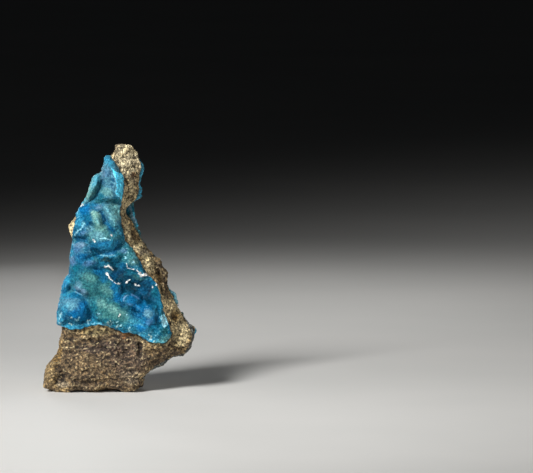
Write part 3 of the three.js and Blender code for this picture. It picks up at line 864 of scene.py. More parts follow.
# Patches of colour laid over one another, then painted shade and paler tops from the relief, then
# facets, and edges and painted glints
def paintCrust(piece, form):
    points = readPoints(piece)
    slow = noiseAt(points, 2.4)
    quick = noiseAt(points, 0.9, 80.0)
    trueX, trueZ = tablePlace(points, form["lean"])
    x = trueX + 0.45 * slow + 0.25 * quick
    z = strayed(trueZ, points, ((2.1, 0.45), (0.8, 0.25)), (40.0, 90.0))
    paint = np.tile(linear(crustTints["sea"]), (len(points), 1))
    paint = coated(paint, crustTints, [
        ("blue", slow, 0.0, 0.5, 0.6, 1),
        ("green", -slow, 0.1, 0.6, 0.5, 1),
    ])
    for *patch, tint, strength in form["patches"]:
        share = patchShare(x, z, patch, *crust["patchEnd"], 0.2 * quick)
        paint = tinted(paint, crustTints[tint], strength * share)
    # Its flanks, painted shade in its hollows and creases, and paler paint on what stands out
    # between those
    normals = readNormals(piece)
    flank = 0.35 - normals[:, 1] * form["face"]
    flankTint, flankStrength = form["flanks"]
    right = smooth(normals[:, 0], 0.2, 0.7) * smooth(flank, 0, 0.4)
    out = standingOut(piece, crust["domeRounds"])
    near = standingOut(piece, crust["creaseRounds"])
    # Where it thins out on the rock, iron stains come through
    touching = 1.3 - againstRock(points, normals, rockTree)[0]
    paint = coated(paint, crustTints, [
        (flankTint, flank, 0, 0.4, flankStrength, 1),
        ("stain", quick + 0.5 * slow, 0.0, 0.4, 0.6, right),
        ("deep", -out, 0.15, 0.8, 0.45, 1),
        ("night", -near, 0.03, 0.12, 0.22, 1),
        ("milk", near, 0.03, 0.12, 0.22, 1),
        ("stain", touching + 0.8 * quick + 0.5 * slow, 0.2, 0.9, form["contactStain"], 1),
    ])
    paint = paint * crust["shade"]
    edgeX = trueX + 0.15 * quick
    edgeZ = trueZ + 0.15 * noiseAt(points, 0.7, 55.0)
    for outline, _, tint in form["facets"]:
        share = insideOutline(edgeX, edgeZ, outline) * (1 - 0.3 * smooth(quick, 0.1, 0.4))
        paint = tinted(paint, crustTints[tint], share)
    ragged = noiseAt(points, 0.4, 33.0)
    # Broken edges, and painted glints and highlights
    for line, halfWidth, tint, strength in form["edges"]:
        share = lineShare(edgeX, edgeZ, line, halfWidth, 1.1, 0.55, 1.3 * ragged)
        paint = tinted(paint, crustTints[tint], strength * share)
    addAttribute(piece, "paint", paint)


# How sugary the surface is with tiny crystals, from patches
def dustCrust(piece, form):
    points = readPoints(piece)
    x, z = tablePlace(points, form["lean"])
    sugar = np.full(len(points), crust["leastSugar"])
    for *patch, strength in form["sugar"]:
        sugar = np.maximum(sugar, strength * patchShare(x, z, patch, *crust["sugarEnd"]))
    for outline, _, _ in form["facets"]:
        sugar = np.maximum(sugar, crust["facetSugar"] * insideOutline(x, z, outline))
    addAttribute(piece, "sugar", sugar)


# Hemimorphite: a waxy, slightly translucent mineral, cloudy inside and finely drusy outside
def hemimorphiteMaterial():
    material, tree = newMaterial("hemimorphite")
    position = addNode(tree, "TexCoord").outputs["Object"]
    paint = addNode(tree, "Attribute", attribute_name="paint").outputs["Color"]
    sugar = addNode(tree, "Attribute", attribute_name="sugar").outputs["Fac"]
    haze = addNode(tree, "TexNoise", {"Vector": position, "Scale": scaleFor(crust["hazeSize"]),
                                      "Detail": 6.0, "Roughness": 0.7})
    hazeTone = addNode(tree, "ValToRGB", {"Fac": haze.outputs["Fac"]}, stops=[
        (0.3, (0.3, 0.45, 0.54, 1)), (0.7, (1.7, 1.55, 1.46, 1)),
    ])
    clouded = addNode(tree, "Mix", {"Factor": 0.55, 6: paint, 7: hazeTone.outputs["Color"]},
                      data_type="RGBA", blend_type="MULTIPLY")
    specks = addNode(tree, "TexNoise", {"Vector": position, "Scale": scaleFor(crust["speckSize"]),
                                        "Detail": 4.0, "Roughness": 0.8})
    speckTone = addNode(tree, "ValToRGB", {"Fac": specks.outputs["Fac"]}, stops=[
        (0.36, (0.42, 0.52, 0.58, 1)), (0.66, (1.62, 1.5, 1.44, 1)),
    ])
    speckled = addNode(tree, "Mix", {"Factor": 1.0, 6: clouded.outputs[2],
                                     7: speckTone.outputs["Color"]},
                       data_type="RGBA", blend_type="MULTIPLY")
    speckShare = addNode(tree, "MapRange", {"Value": specks.outputs["Fac"], "From Min": 0.59,
                                            "From Max": 0.66})
    sugared = addNode(tree, "Math", {0: speckShare.outputs[0], 1: sugar}, operation="MULTIPLY")
    dusted = addNode(tree, "Mix", {"Factor": sugared.outputs[0], 6: speckled.outputs[2],
                                   7: colour("#c4e4ea")}, data_type="RGBA")
    fine = addNode(tree, "TexNoise", {"Vector": position, "Scale": scaleFor(crust["bumpSize"]),
                                      "Detail": 3.0})
    bump = addNode(tree, "Bump", {"Height": fine.outputs["Fac"], "Strength": 0.5,
                                  "Distance": 0.15 * mm})
    shader = addNode(tree, "BsdfPrincipled", {
        "Base Color": dusted.outputs[2], "Roughness": 0.5, "IOR": 1.62, "Specular IOR Level": 0.05,
        "Subsurface Weight": 0.2, "Subsurface Radius": (0.3, 0.9, 1.0),
        "Subsurface Scale": 0.8 * mm, "Normal": bump.outputs["Normal"],
    })
    addNode(tree, "OutputMaterial", {"Surface": shader.outputs["BSDF"]})
    return material


hemimorphite = hemimorphiteMaterial()
rockTree = BVHTree.FromObject(gossan, bpy.context.evaluated_depsgraph_get())


# The front crust. Its domes: centre x and z, half length, half width, tilt, height

frontDomes = [
    (-13.7, 24.2, 5.6, 5.0, 0, 6.0),
    (-16.4, 31.6, 2.2, 2.9, 0, 3.6),
    (-8.6, 31.6, 8.6, 5.2, -38, 5.2),
    (-2.4, 29.4, 5.2, 4.2, -38, 4.6),
    (-2.0, 23.2, 9.8, 4.6, -30, 5.4),
    (5.4, 19.2, 6.4, 3.4, -22, 4.2),
    (3.4, 26.2, 3.6, 2.9, 10, 5.4),
    (9.2, 22.2, 5.4, 3.4, -48, 5.0),
    (12.4, 17.4, 3.4, 2.6, -30, 3.2),
    (-4.6, 45.2, 5.8, 5.6, 0, 6.8),
    (-7.0, 50.6, 2.7, 2.9, 60, 6.6),
    (-10.9, 48.6, 3.6, 4.6, 0, 4.4),
    (-11.2, 40.9, 4.4, 4.2, 0, 5.6),
    (-11.4, 36.8, 4.4, 3.2, 0, 4.4),
    (-5.0, 38.0, 4.4, 2.4, -10, 3.0),
    (3.6, 38.8, 4.6, 3.6, -45, 4.2),
    (6.8, 35.4, 3.4, 1.6, -30, 4.0),
    (4.2, 33.6, 3.2, 2.0, -5, 2.8),
    (-1.6, 50.6, 6.4, 2.4, -56, 4.6),
    (-3.0, 58.6, 3.4, 3.8, 0, 4.2),
    (-3.2, 66.0, 2.6, 5.4, 0, 3.8),
    (-8.0, 60.4, 5.4, 2.1, 66, 4.6),
    (-0.9, 61.4, 2.4, 6.4, 0, 4.4),
]

# Lesser swellings that the solid leaves out, in the same way
frontSwells = [
    (-6.1, 49.4, 3.2, 1.8, -70, 6.9),  # from the knob down into the middle dome
    (-9.4, 47.4, 2.6, 2.2, 30, 4.9),
    (-11.8, 38.6, 3.4, 3.2, 0, 5.0),
    (-8.2, 38.0, 2.8, 2.0, 20, 4.6),
    (-10.4, 29.8, 3.4, 1.7, -28, 5.6),
    (-3.4, 53.4, 3.4, 1.3, -46, 4.9),
    (-1.8, 40.4, 4.6, 2.6, 8, 4.2),
    (7.6, 18.6, 2.8, 1.6, -24, 4.4),
    (-3.6, 21.0, 3.2, 1.4, -6, 4.6),
    (-16.9, 20.9, 2.2, 1.6, 20, 3.4),
    (5.9, 24.3, 2.6, 1.5, -35, 4.8),
]

frontBowls = [
    (-1.0, 34.6, 3.5, 2.9, 20, 0.9),
    (2.6, 30.3, 3.0, 2.6, 0, 0.9),
    (7.6, 29.6, 5.0, 3.9, -18, 1.1),
]

# What is left of the bowls' broken white rims: a line and its half width
frontRims = [
    ([(-4.2, 36.4), (-3.3, 36.7), (-2.4, 36.3)], 0.34),
    ([(-2.4, 36.3), (-2.0, 35.6)], 0.2),
    ([(-3.8, 34.5), (-3.3, 34.1)], 0.34),
    ([(-3.3, 34.1), (-2.8, 33.2)], 0.24),
    ([(-2.6, 32.8), (-1.9, 32.2)], 0.14),
    ([(-1.5, 31.9), (-0.9, 31.5)], 0.14),
    ([(-0.6, 31.5), (0.3, 31.6)], 0.24),
    ([(2.1, 31.8), (2.8, 32.5)], 0.3),
    ([(2.6, 32.3), (3.2, 32.7)], 0.2),
    ([(4.5, 31.5), (5.1, 31.0), (5.8, 30.9)], 0.2),
    ([(2.1, 37.5), (2.3, 36.4)], 0.13),
    ([(2.5, 36.2), (4.2, 35.7)], 0.1),
    ([(5.2, 35.5), (6.0, 34.6)], 0.22),
    ([(6.2, 34.2), (6.9, 33.8), (8.2, 34.2), (9.0, 34.0)], 0.4),
    ([(9.2, 33.9), (10.6, 32.9)], 0.2),
    ([(10.9, 31.9), (11.2, 31.2)], 0.28),
    ([(9.7, 30.6), (9.9, 30.4)], 0.22),
    ([(10.7, 31.1), (11.0, 30.8)], 0.2),
]

# Creases, and ridges with a minus depth
frontLines = [
    ([(-8.9, 42.8), (-7.2, 41.3), (-6.0, 40.5), (-4.0, 40.1), (-1.6, 40.4), (0.2, 41.9),
      (0.6, 43.4)], 0.7, 0.3),
    ([(-13.1, 28.9), (-9.9, 27.3), (-8.7, 24.5), (-8.6, 21.5), (-11.0, 20.3), (-13.6, 19.9)],
     0.8, 0.35),
    ([(-14.3, 44.9), (-12.1, 44.7), (-10.0, 44.3), (-8.8, 43.2)], 0.7, 0.35),
    ([(-3.5, 26.8), (0.2, 25.5), (1.6, 24.6), (4.0, 22.8), (6.5, 20.3)], 0.7, 0.4),
    ([(1.2, 27.6), (2.2, 28.8), (3.8, 29.2), (6.0, 28.5), (7.4, 26.6)], 0.5, 0.12),
    ([(-5.3, 64.3), (-5.6, 61.9), (-7.4, 57.6), (-8.3, 56.0)], 0.8, 0.7),
    ([(-7.2, 55.8), (-4.6, 55.4), (-1.6, 55.8), (0.4, 55.6)], 0.9, 0.4),
    ([(-5.4, 52.4), (-4.3, 50.2), (-2.6, 48.3), (-1.0, 47.2)], 0.9, 0.5),
    ([(11.6, 24.5), (11.0, 21.5), (11.8, 18.6)], 0.5, 0.4),
    ([(-17.6, 29.3), (-15.0, 29.8), (-13.6, 31.6), (-13.9, 34.6)], 0.6, 0.2),
    ([(-13.3, 45.7), (-12.6, 46.9), (-11.3, 47.7), (-10.4, 49.3)], 0.3, -0.2),
]
for line, halfWidth in frontRims:
    frontLines.append((line, 1.1 * halfWidth, -0.15))

# Flat broken faces: outline, mm that it stands proud, tint
frontFacets = [
    # the spike's broken face: its bright sky blue is partly its own colour and partly a painted
    # highlight
    ([(-2.5, 67.0), (-0.7, 65.4), (1.2, 64.7), (1.3, 63.0), (0.9, 58.7), (0.7, 56.2), (-1.2, 58.5),
      (-0.7, 60.5), (-0.9, 63.0), (-1.6, 65.0)], 0.15, "sky"),
    ([(11.9, 21.7), (13.1, 22.4), (13.8, 21.5), (14.4, 19.2), (13.3, 18.3), (12.6, 19.0),
      (12.6, 20.1)], 0.3, "ice"),
]

# Patches of colour: centre x and z, half length, half width, tilt, tint, strength.
# The broad grounds come first
# Some are painted shade in troughs, creases and hollows, and some are painted highlights, as marked
# below
frontPatches = [
    (-3.0, 63.5, 4.0, 6.8, 0, "grey", 0.75),
    (-8.3, 60.0, 5.0, 1.8, 64, "milk", 0.7),
    (-2.0, 53.0, 4.5, 3.2, -50, "grey", 0.7),
    (-10.5, 50.5, 3.0, 5.0, 0, "blue", 0.6),
    (-5.0, 46.5, 5.0, 3.6, 0, "green", 0.85),
    (-3.8, 42.3, 4.6, 2.6, 0, "blue", 0.85),
    (-11.8, 41.5, 3.2, 3.0, 0, "violet", 0.45),
    (-10.5, 36.2, 5.0, 2.2, 0, "blue", 0.7),
    (-7.5, 31.5, 7.0, 4.6, -30, "fern", 0.7),
    (-7.5, 31.5, 7.0, 4.6, -30, "moss", 0.35),
    (3.0, 40.0, 4.0, 3.2, -45, "fern", 0.7),
    (1.0, 34.0, 4.6, 2.8, -10, "deep", 0.95),
    (6.4, 29.2, 6.0, 4.0, -18, "deep", 0.95),
    (1.0, 33.4, 3.8, 2.2, -10, "night", 0.8),
    (6.4, 29.6, 5.0, 2.8, -18, "night", 0.7),
    (-13.0, 24.0, 5.2, 5.0, 0, "blue", 0.8),
    (-2.2, 23.2, 8.6, 3.6, -28, "fern", 0.85),
    (5.5, 19.6, 5.0, 3.0, -25, "cyan", 0.4),
    (6.5, 24.0, 4.5, 3.4, -40, "blue", 0.8),
    (9.0, 21.0, 3.6, 2.6, -45, "blue", 0.8),
    (11.5, 17.0, 3.6, 2.8, -30, "teal", 0.5),
    # spike
    (-3.6, 69.6, 1.4, 1.8, 0, "cyan", 0.5),
    (-2.4, 68.0, 0.9, 1.6, 30, "cyan", 0.6),
    (-4.7, 64.6, 0.9, 1.6, 0, "lilac", 0.6),
    (-3.4, 65.2, 1.3, 1.6, 0, "violet", 0.5),
    (-1.8, 63.1, 1.0, 0.6, -15, "deep", 0.9),
    (-2.1, 61.5, 0.7, 0.6, 0, "deep", 0.8),
    (-4.9, 62.2, 0.7, 1.2, 0, "deep", 0.6),
    (-3.9, 58.9, 1.9, 1.5, 0, "pale", 0.6),
    (-5.3, 57.2, 1.2, 1.4, 0, "teal", 0.7),
    (-2.6, 56.1, 2.6, 0.9, 0, "moss", 0.8),
    (-6.3, 55.9, 1.4, 0.9, 0, "moss", 0.8),
    (-0.6, 55.9, 1.2, 1.0, 0, "teal", 0.6),
    # left lobe and the trough beside it
    (-6.8, 63.7, 1.2, 1.3, 0, "ice", 0.6),
    (-8.3, 61.4, 3.0, 0.8, 62, "pale", 0.7),
    (-8.3, 61.8, 2.4, 0.6, 62, "ice", 0.5),
    (-6.4, 62.2, 0.7, 1.3, 0, "teal", 0.5),
    (-8.8, 58.2, 2.0, 0.9, 62, "pale", 0.7),
    (-10.6, 56.1, 0.7, 0.8, 0, "pale", 0.8),
    # painted shade in the trough
    (-5.7, 61.5, 0.6, 2.4, 10, "moss", 0.7),
    (-7.2, 58.4, 3.0, 0.6, 64, "moss", 0.6),
    (-7.2, 62.4, 2.2, 1.1, 62, "cyan", 0.75),
    (-7.4, 60.2, 2.0, 0.7, 62, "teal", 0.5),
    (-8.9, 57.9, 2.2, 0.7, 62, "green", 0.6),
    (-9.2, 59.8, 3.8, 0.4, 63, "milk", 0.6),
    (-7.9, 61.2, 3.2, 1.1, 63, "ice", 0.45),
    # shoulder
    (-6.1, 54.3, 1.3, 0.9, -20, "lilac", 0.6),
    (-7.4, 54.9, 1.2, 0.7, 0, "blue", 0.6),
    (-1.4, 53.4, 2.4, 1.6, -40, "pale", 0.9),
    (-3.0, 52.8, 2.4, 1.0, -50, "grey", 0.9),
    (-1.4, 51.6, 1.8, 1.2, -60, "milk", 0.8),
    (-2.0, 52.6, 3.0, 1.8, -50, "ice", 0.5),
    # painted highlights on the shoulder
    (-0.9, 51.4, 0.6, 0.5, 0, "ice", 0.7),
    (-0.9, 49.1, 0.7, 0.6, 0, "ice", 0.8),
    (-4.9, 51.4, 2.2, 0.6, -52, "blue", 0.8),
    (-3.7, 49.2, 1.6, 0.8, -45, "blue", 0.8),
    (-2.4, 47.6, 1.6, 0.9, -30, "blue", 0.9),
    (-4.3, 50.4, 0.8, 0.2, -55, "ice", 0.6),
    # knob and left ridge
    (-6.6, 50.8, 2.4, 1.3, -70, "pale", 0.9),
    (-7.0, 52.0, 1.6, 1.1, -40, "milk", 0.9),
    (-6.2, 50.2, 1.4, 0.6, -60, "ice", 0.4),
    (-9.2, 51.0, 1.0, 1.2, 0, "sea", 0.7),
    (-10.6, 53.3, 2.2, 1.3, 20, "vivid", 0.6),
    (-12.4, 52.6, 0.6, 1.6, 15, "cyan", 0.8),
    (-11.8, 49.8, 1.2, 1.6, 0, "cyan", 0.6),
    # a painted highlight
    (-10.5, 49.2, 0.8, 0.8, 0, "ice", 0.8),
    (-8.3, 49.5, 0.7, 0.5, 0, "deep", 0.8),
    (-8.8, 48.0, 1.2, 1.0, 0, "grey", 0.6),
    (-10.4, 46.5, 1.6, 0.9, 30, "violet", 0.7),
    # painted shade in the crease below
    (-11.6, 44.9, 2.4, 0.6, -8, "deep", 0.9),
    # middle dome
    (-5.6, 48.0, 2.0, 1.2, 0, "pale", 0.7),
    (-6.4, 45.8, 2.4, 1.6, 0, "grey", 0.55),
    (-1.8, 46.2, 1.4, 1.0, 0, "cyan", 0.4),
    (-1.8, 43.6, 1.3, 1.3, 0, "cyan", 0.6),
    (-4.2, 42.8, 1.8, 1.1, 0, "vivid", 0.7),
    (-3.8, 42.4, 2.8, 1.3, 0, "cyan", 0.5),
    (-3.4, 41.4, 2.2, 0.6, 0, "deep", 0.4),
    # painted shade in the crease under the dome
    (-6.8, 41.3, 2.2, 0.6, -38, "night", 0.7),
    (-0.7, 41.7, 1.2, 0.5, 40, "deep", 0.8),
    # violet dome and below it
    (-12.0, 43.0, 1.8, 0.9, 0, "lilac", 0.9),
    (-12.6, 41.4, 1.0, 0.9, 0, "violet", 0.7),
    (-10.2, 41.8, 0.9, 0.9, 0, "sea", 0.7),
    (-10.4, 39.6, 2.2, 1.1, -10, "blue", 1.0),
    (-10.0, 39.4, 1.2, 0.7, 0, "deep", 0.5),
    (-14.0, 38.6, 0.9, 1.2, 0, "lilac", 0.7),
    (-14.2, 41.3, 0.6, 2.2, 0, "cyan", 0.5),
    (-13.8, 37.9, 1.1, 0.9, 0, "violet", 0.8),
    (-8.8, 37.5, 1.9, 0.9, 12, "violet", 0.8),
    (-13.0, 35.9, 1.4, 1.3, 0, "teal", 0.8),
    (-6.0, 35.2, 1.8, 1.2, 0, "blue", 0.8),
    (-3.9, 38.6, 1.6, 1.0, 0, "moss", 0.9),
    (-2.2, 39.4, 1.3, 0.7, 0, "sea", 0.6),
    (0.3, 39.7, 1.2, 1.1, 0, "teal", 0.7),
    # green mass
    (-12.1, 31.2, 1.3, 1.3, 0, "grey", 0.8),
    (-11.5, 29.5, 2.4, 0.8, -25, "lilac", 0.8),
    (-8.6, 33.2, 2.2, 1.4, -20, "green", 0.6),
    (-6.4, 29.0, 1.4, 0.9, 0, "moss", 0.5),
    (-4.9, 33.3, 1.8, 1.2, -40, "blue", 0.7),
    (-3.7, 29.6, 2.2, 1.3, -35, "green", 0.8),
    (-1.6, 30.6, 1.6, 1.2, -50, "blue", 0.85),
    (-0.5, 27.6, 1.2, 1.8, 0, "vivid", 0.85),
    # left facet
    (-15.6, 33.0, 1.2, 1.6, 0, "cyan", 0.7),
    (-16.4, 31.4, 1.2, 1.2, 0, "vivid", 0.5),
    (-15.0, 30.3, 0.9, 0.8, 0, "deep", 0.6),
    # lower left dome
    # its pale crown is partly its own colour and partly a painted highlight
    (-14.4, 25.4, 3.4, 2.1, -10, "grey", 0.7),
    (-14.4, 25.0, 1.8, 1.2, 0, "ice", 0.3),
    (-16.0, 27.8, 1.6, 1.0, 0, "cyan", 0.45),
    (-10.9, 24.8, 1.4, 1.6, 0, "vivid", 0.8),
    (-12.0, 22.2, 2.0, 1.6, 0, "vivid", 0.8),
    (-16.2, 24.0, 1.2, 1.4, 0, "cyan", 0.4),
    (-15.9, 21.3, 1.6, 0.8, 0, "deep", 0.6),
    (-18.2, 20.4, 1.4, 1.4, 0, "cyan", 0.7),
    (-14.6, 19.2, 2.2, 0.8, 0, "cyan", 0.6),
    # painted shade in the crease below the dome and at its right
    (-10.6, 19.9, 2.4, 0.6, 5, "deep", 0.6),
    (-8.8, 22.2, 0.9, 2.0, 0, "deep", 0.5),
    (-7.4, 24.6, 1.2, 2.2, 0, "teal", 0.7),
    # long ridge
    (-5.0, 25.6, 1.8, 1.2, -28, "pale", 0.5),
    (-2.0, 23.9, 2.2, 1.2, -28, "pale", 0.7),
    (0.5, 23.0, 1.5, 0.9, -20, "milk", 0.4),
    (0.3, 21.8, 2.6, 1.3, -25, "green", 0.6),
    (3.6, 20.8, 2.4, 1.0, -22, "green", 0.4),
    (-5.0, 20.4, 2.4, 0.8, 5, "teal", 0.8),
    (-1.0, 19.6, 2.0, 1.0, 0, "teal", 0.5),
    (5.0, 20.4, 2.2, 1.2, -20, "cyan", 0.6),
    (3.0, 18.8, 1.8, 1.0, 0, "sea", 0.7),
    (6.6, 18.0, 2.4, 1.0, -25, "vivid", 0.8),
    # right domes
    (3.9, 26.7, 2.0, 1.3, 0, "blue", 0.9),
    (3.0, 25.2, 1.2, 0.6, -20, "violet", 0.5),
    (5.2, 24.6, 1.9, 0.8, -35, "vivid", 0.7),
    (6.0, 24.4, 1.2, 0.5, -35, "cyan", 0.4),
    (1.0, 25.4, 0.8, 1.0, 0, "deep", 0.8),
    (6.4, 24.0, 1.6, 1.0, -30, "vivid", 0.6),
    (8.5, 22.5, 1.4, 1.5, 0, "grey", 0.85),
    (8.9, 20.0, 1.2, 1.0, 0, "violet", 0.6),
    (10.9, 21.1, 0.9, 2.0, 0, "deep", 0.85),
    # bowls: their dark tints are partly painted shade in the hollows
    (-3.6, 38.6, 1.6, 0.9, 0, "night", 0.7),
    (-4.3, 38.6, 0.5, 0.25, 20, "stain", 0.5),
    (-3.1, 38.2, 0.6, 0.2, -30, "stain", 0.6),
    (-3.5, 39.3, 0.6, 0.2, 10, "stain", 0.5),
    (-2.4, 37.2, 1.0, 0.7, 0, "night", 0.8),
    (-1.6, 35.6, 1.2, 0.9, 0, "night", 1.0),
    (-1.3, 34.0, 1.6, 1.4, 0, "deep", 0.9),
    (0.6, 33.4, 1.6, 1.2, 0, "night", 0.7),
    (3.2, 34.8, 2.0, 1.2, 0, "teal", 0.5),
    (5.0, 33.9, 1.2, 0.6, 0, "fern", 0.5),
    (6.2, 33.0, 2.0, 0.6, -5, "green", 0.5),
    (8.8, 32.2, 1.2, 0.8, 0, "deep", 0.7),
    (3.1, 30.2, 2.0, 1.1, 0, "night", 1.0),
    (0.5, 29.5, 0.9, 1.2, 0, "deep", 0.9),
    (7.0, 29.3, 1.8, 1.2, 0, "blue", 0.35),
    (10.5, 29.0, 1.0, 2.0, 0, "teal", 0.6),
    (8.2, 26.6, 1.8, 0.8, -30, "night", 0.9),
    (11.8, 25.6, 0.9, 1.5, 0, "sea", 0.7),
    # above the right bowl
    (1.2, 41.3, 1.3, 0.9, 0, "violet", 0.7),
    (4.6, 39.9, 1.4, 0.9, -45, "ice", 0.5),
    (4.2, 37.9, 1.4, 1.0, 0, "pale", 0.5),
    (0.9, 37.0, 1.2, 1.0, 0, "blue", 0.6),
    # bottom right corner
    (9.0, 16.6, 2.0, 1.1, -20, "cyan", 0.7),
    (13.4, 17.2, 1.3, 1.2, 0, "moss", 0.8),
    (13.0, 15.2, 1.5, 0.9, 0, "green", 0.7),
]

# Broken and thin edges, and painted glints and highlights, over everything else: a line, half
# width, tint, strength
frontEdgesAndGlints = [
    ([(-19.0, 19.6), (-17.5, 18.8), (-14.4, 18.0), (-11.4, 18.3), (-8.3, 19.3), (-5.2, 19.5),
      (-1.1, 18.3), (1.0, 17.2), (4.0, 17.2), (7.6, 15.4), (9.2, 14.2), (13.0, 14.0)],
     0.9, "sea", 0.6),
    ([(4.0, 17.2), (7.6, 15.4), (9.2, 14.2), (12.0, 14.0)], 0.6, "cyan", 0.2),
    ([(11.0, 13.8), (13.4, 14.4), (14.6, 15.8)], 0.8, "fern", 0.7),
    ([(-8.2, 19.5), (-6.6, 19.7), (-4.4, 19.2)], 0.2, "ice", 0.4),
    ([(-19.0, 19.6), (-18.6, 22.4), (-18.2, 26.3), (-17.2, 30.4), (-16.4, 33.2)], 0.5, "cyan", 0.3),
    # a painted highlight along the left edge
    ([(-17.9, 21.0), (-17.3, 22.7)], 0.3, "ice", 0.7),
    ([(-13.0, 51.9), (-12.5, 54.0), (-10.4, 56.4)], 0.5, "cyan", 0.4),
    ([(-11.7, 54.8), (-11.1, 55.1)], 0.35, "white", 0.8),
    ([(-13.3, 45.7), (-12.6, 46.9), (-11.3, 47.7), (-10.4, 49.3)], 0.24, "ice", 0.6),
    ([(-5.7, 40.1), (-3.6, 39.8), (-1.5, 40.1)], 0.2, "ice", 0.4),
    ([(-5.8, 44.9), (-4.6, 45.0)], 0.16, "ice", 0.6),
    ([(-4.2, 45.1), (-3.6, 44.9), (-2.6, 44.5)], 0.18, "ice", 0.7),
    # painted glints on the middle dome
    ([(-7.6, 44.6), (-7.1, 43.9)], 0.2, "white", 0.7),
    ([(-2.3, 46.1), (-2.1, 45.9)], 0.22, "white", 0.8),
    ([(1.2, 26.4), (1.6, 27.6), (2.4, 28.1)], 0.2, "lilac", 0.35),
    ([(3.6, 28.2), (4.8, 27.9), (5.6, 27.0)], 0.24, "violet", 0.35),
    ([(-13.4, 29.1), (-11.4, 28.3), (-9.9, 27.6)], 0.2, "ice", 0.35),
    # painted glints on the long ridge and above the right bowl
    ([(-0.2, 21.8), (0.2, 22.3)], 0.24, "white", 0.9),
    ([(-6.3, 22.4), (-6.1, 22.6)], 0.24, "ice", 0.9),
    ([(2.1, 21.9), (2.3, 22.3)], 0.2, "ice", 0.8),
    ([(-0.7, 20.0), (-0.5, 20.2)], 0.2, "ice", 0.8),
    ([(0.4, 19.0), (0.5, 19.2)], 0.22, "ice", 0.9),
    ([(1.8, 39.4), (2.0, 39.1)], 0.3, "ice", 0.9),
    ([(4.0, 38.0), (4.3, 37.8)], 0.3, "ice", 0.9),
    ([(5.9, 34.5), (6.5, 33.9), (7.8, 34.2)], 0.42, "white", 0.8),
    # a painted highlight along the spike's broken face
    ([(-2.6, 66.6), (-1.6, 64.8), (-0.95, 62.6), (-0.8, 60.4), (-1.2, 58.6), (0.6, 56.3)],
     0.14, "ice", 0.25),
]
for line, halfWidth in frontRims:
    frontEdgesAndGlints.append((line, 0.85 * halfWidth, "white", 0.9))

# The lower edge is broken and crystalline: small flecks all along it
flecks = {
    "seed": 4,
    "count": 46,
    "left": -18.6,  # mm, x of the edge's left end
    "length": 32.6,
    "height": 20.4,  # mm, z of its left end
    "drop": 5.6,  # mm that its right end is lower
    "tints": ["ice", "milk", "deep", "moss", "teal"],
}
chance = random.Random(flecks["seed"])
for _ in range(flecks["count"]):
    along = chance.random()
    x = flecks["left"] + flecks["length"] * along
    edge = flecks["height"] - flecks["drop"] * smooth(along, 0.35, 0.95)
    z = edge + chance.uniform(-1.4, 1.0)
    tip = (x + chance.uniform(-0.8, 0.8), z + chance.uniform(0.1, 0.7))
    tint = chance.choice(flecks["tints"])
    halfWidth = chance.uniform(0.14, 0.34)
    frontEdgesAndGlints.append(([(x, z), tip], halfWidth, tint, chance.uniform(0.4, 0.8)))

# Sugary patches: centre x and z, half length, half width, tilt, strength
frontSugar = [
    (3.4, 39.6, 5.0, 3.0, -48, 0.6),
    (-9.6, 42.4, 3.0, 1.4, -40, 0.35),
    (0.8, 44.6, 1.6, 3.4, 0, 0.5),
    (9.5, 15.8, 5.0, 1.6, -18, 0.65),
    (3.0, 20.5, 4.0, 3.0, -20, 0.35),
    (-16.8, 20.4, 3.4, 1.8, 0, 0.4),
    (7.6, 23.6, 2.6, 2.0, 0, 0.4),
    (-11.8, 48.6, 1.6, 3.6, 0, 0.45),
    (-5.6, 41.4, 3.4, 0.9, -20, 0.4),
    (-12.4, 18.9, 7.0, 0.9, 0, 0.5),
    (12.6, 16.6, 2.4, 3.0, 0, 0.5),
]

frontForm = {
    "face": -1,  # it faces the viewer, along -y
    "blend": 2.0,  # mm of height over which two domes flow together
    "wander": ((3.4, 0.0), (1.1, 0.34)),  # waves of its edges: mm across, mm that they stray
    "domes": frontDomes,
    "swells": frontSwells,
    "bowls": frontBowls,
    "lines": frontLines,
    "facets": frontFacets,
    "patches": frontPatches,
    "edges": frontEdgesAndGlints,
    "sugar": frontSugar,
    "flanks": ("cyan", 0.1),  # their tint and its strength
    "contactStain": 0.0,
    "lean": fromAbove,
    "pushes": [],
}

frontCrust = makeCrust("front_crust", "front_hemimorphite", frontForm)
paintCrust(frontCrust, frontForm)
dustCrust(frontCrust, frontForm)
frontCrust.data.materials.append(hemimorphite)
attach(frontCrust, "root")
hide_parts("front_crust")
print("front crust made:", len(frontCrust.data.polygons), "faces")


# The back crust, in the same way. The tints of crown and flank follow each dome; the pale crowns
# are partly the mineral's own colour and partly a painted highlight

backDomes = [
    (-3.0, 27.5, 5.0, 4.2, 20, 3.4, "milk", "teal"),
    (5.0, 25.0, 5.2, 4.0, -20, 3.8, "pale", "blue"),
    (13.0, 20.5, 5.4, 3.6, -30, 3.2, "green", "teal"),
    (-5.0, 36.0, 4.4, 4.6, 0, 3.6, "pale", "blue"),
    (3.0, 34.0, 4.8, 4.4, 10, 3.0, "violet", "blue"),
    (9.5, 31.0, 3.8, 4.4, 0, 3.4, "pale", "blue"),
    (-2.5, 44.0, 5.0, 4.2, 40, 3.4, "green", "teal"),
    (5.0, 41.0, 3.8, 3.6, 0, 2.8, "pale", "fern"),
    (0.0, 52.0, 4.0, 4.6, 0, 3.2, "grey", "blue"),
    (2.6, 60.0, 3.6, 4.2, 0, 2.8, "green", "moss"),
    (4.0, 66.0, 2.8, 3.6, 0, 2.4, "grey", "teal"),
]
backSwells = []
backPatches = []
for cx, cz, long, wide, tilt, _, _, flank in backDomes:
    backPatches.append((cx, cz, 1.1 * long, 1.1 * wide, tilt, flank, 0.6))

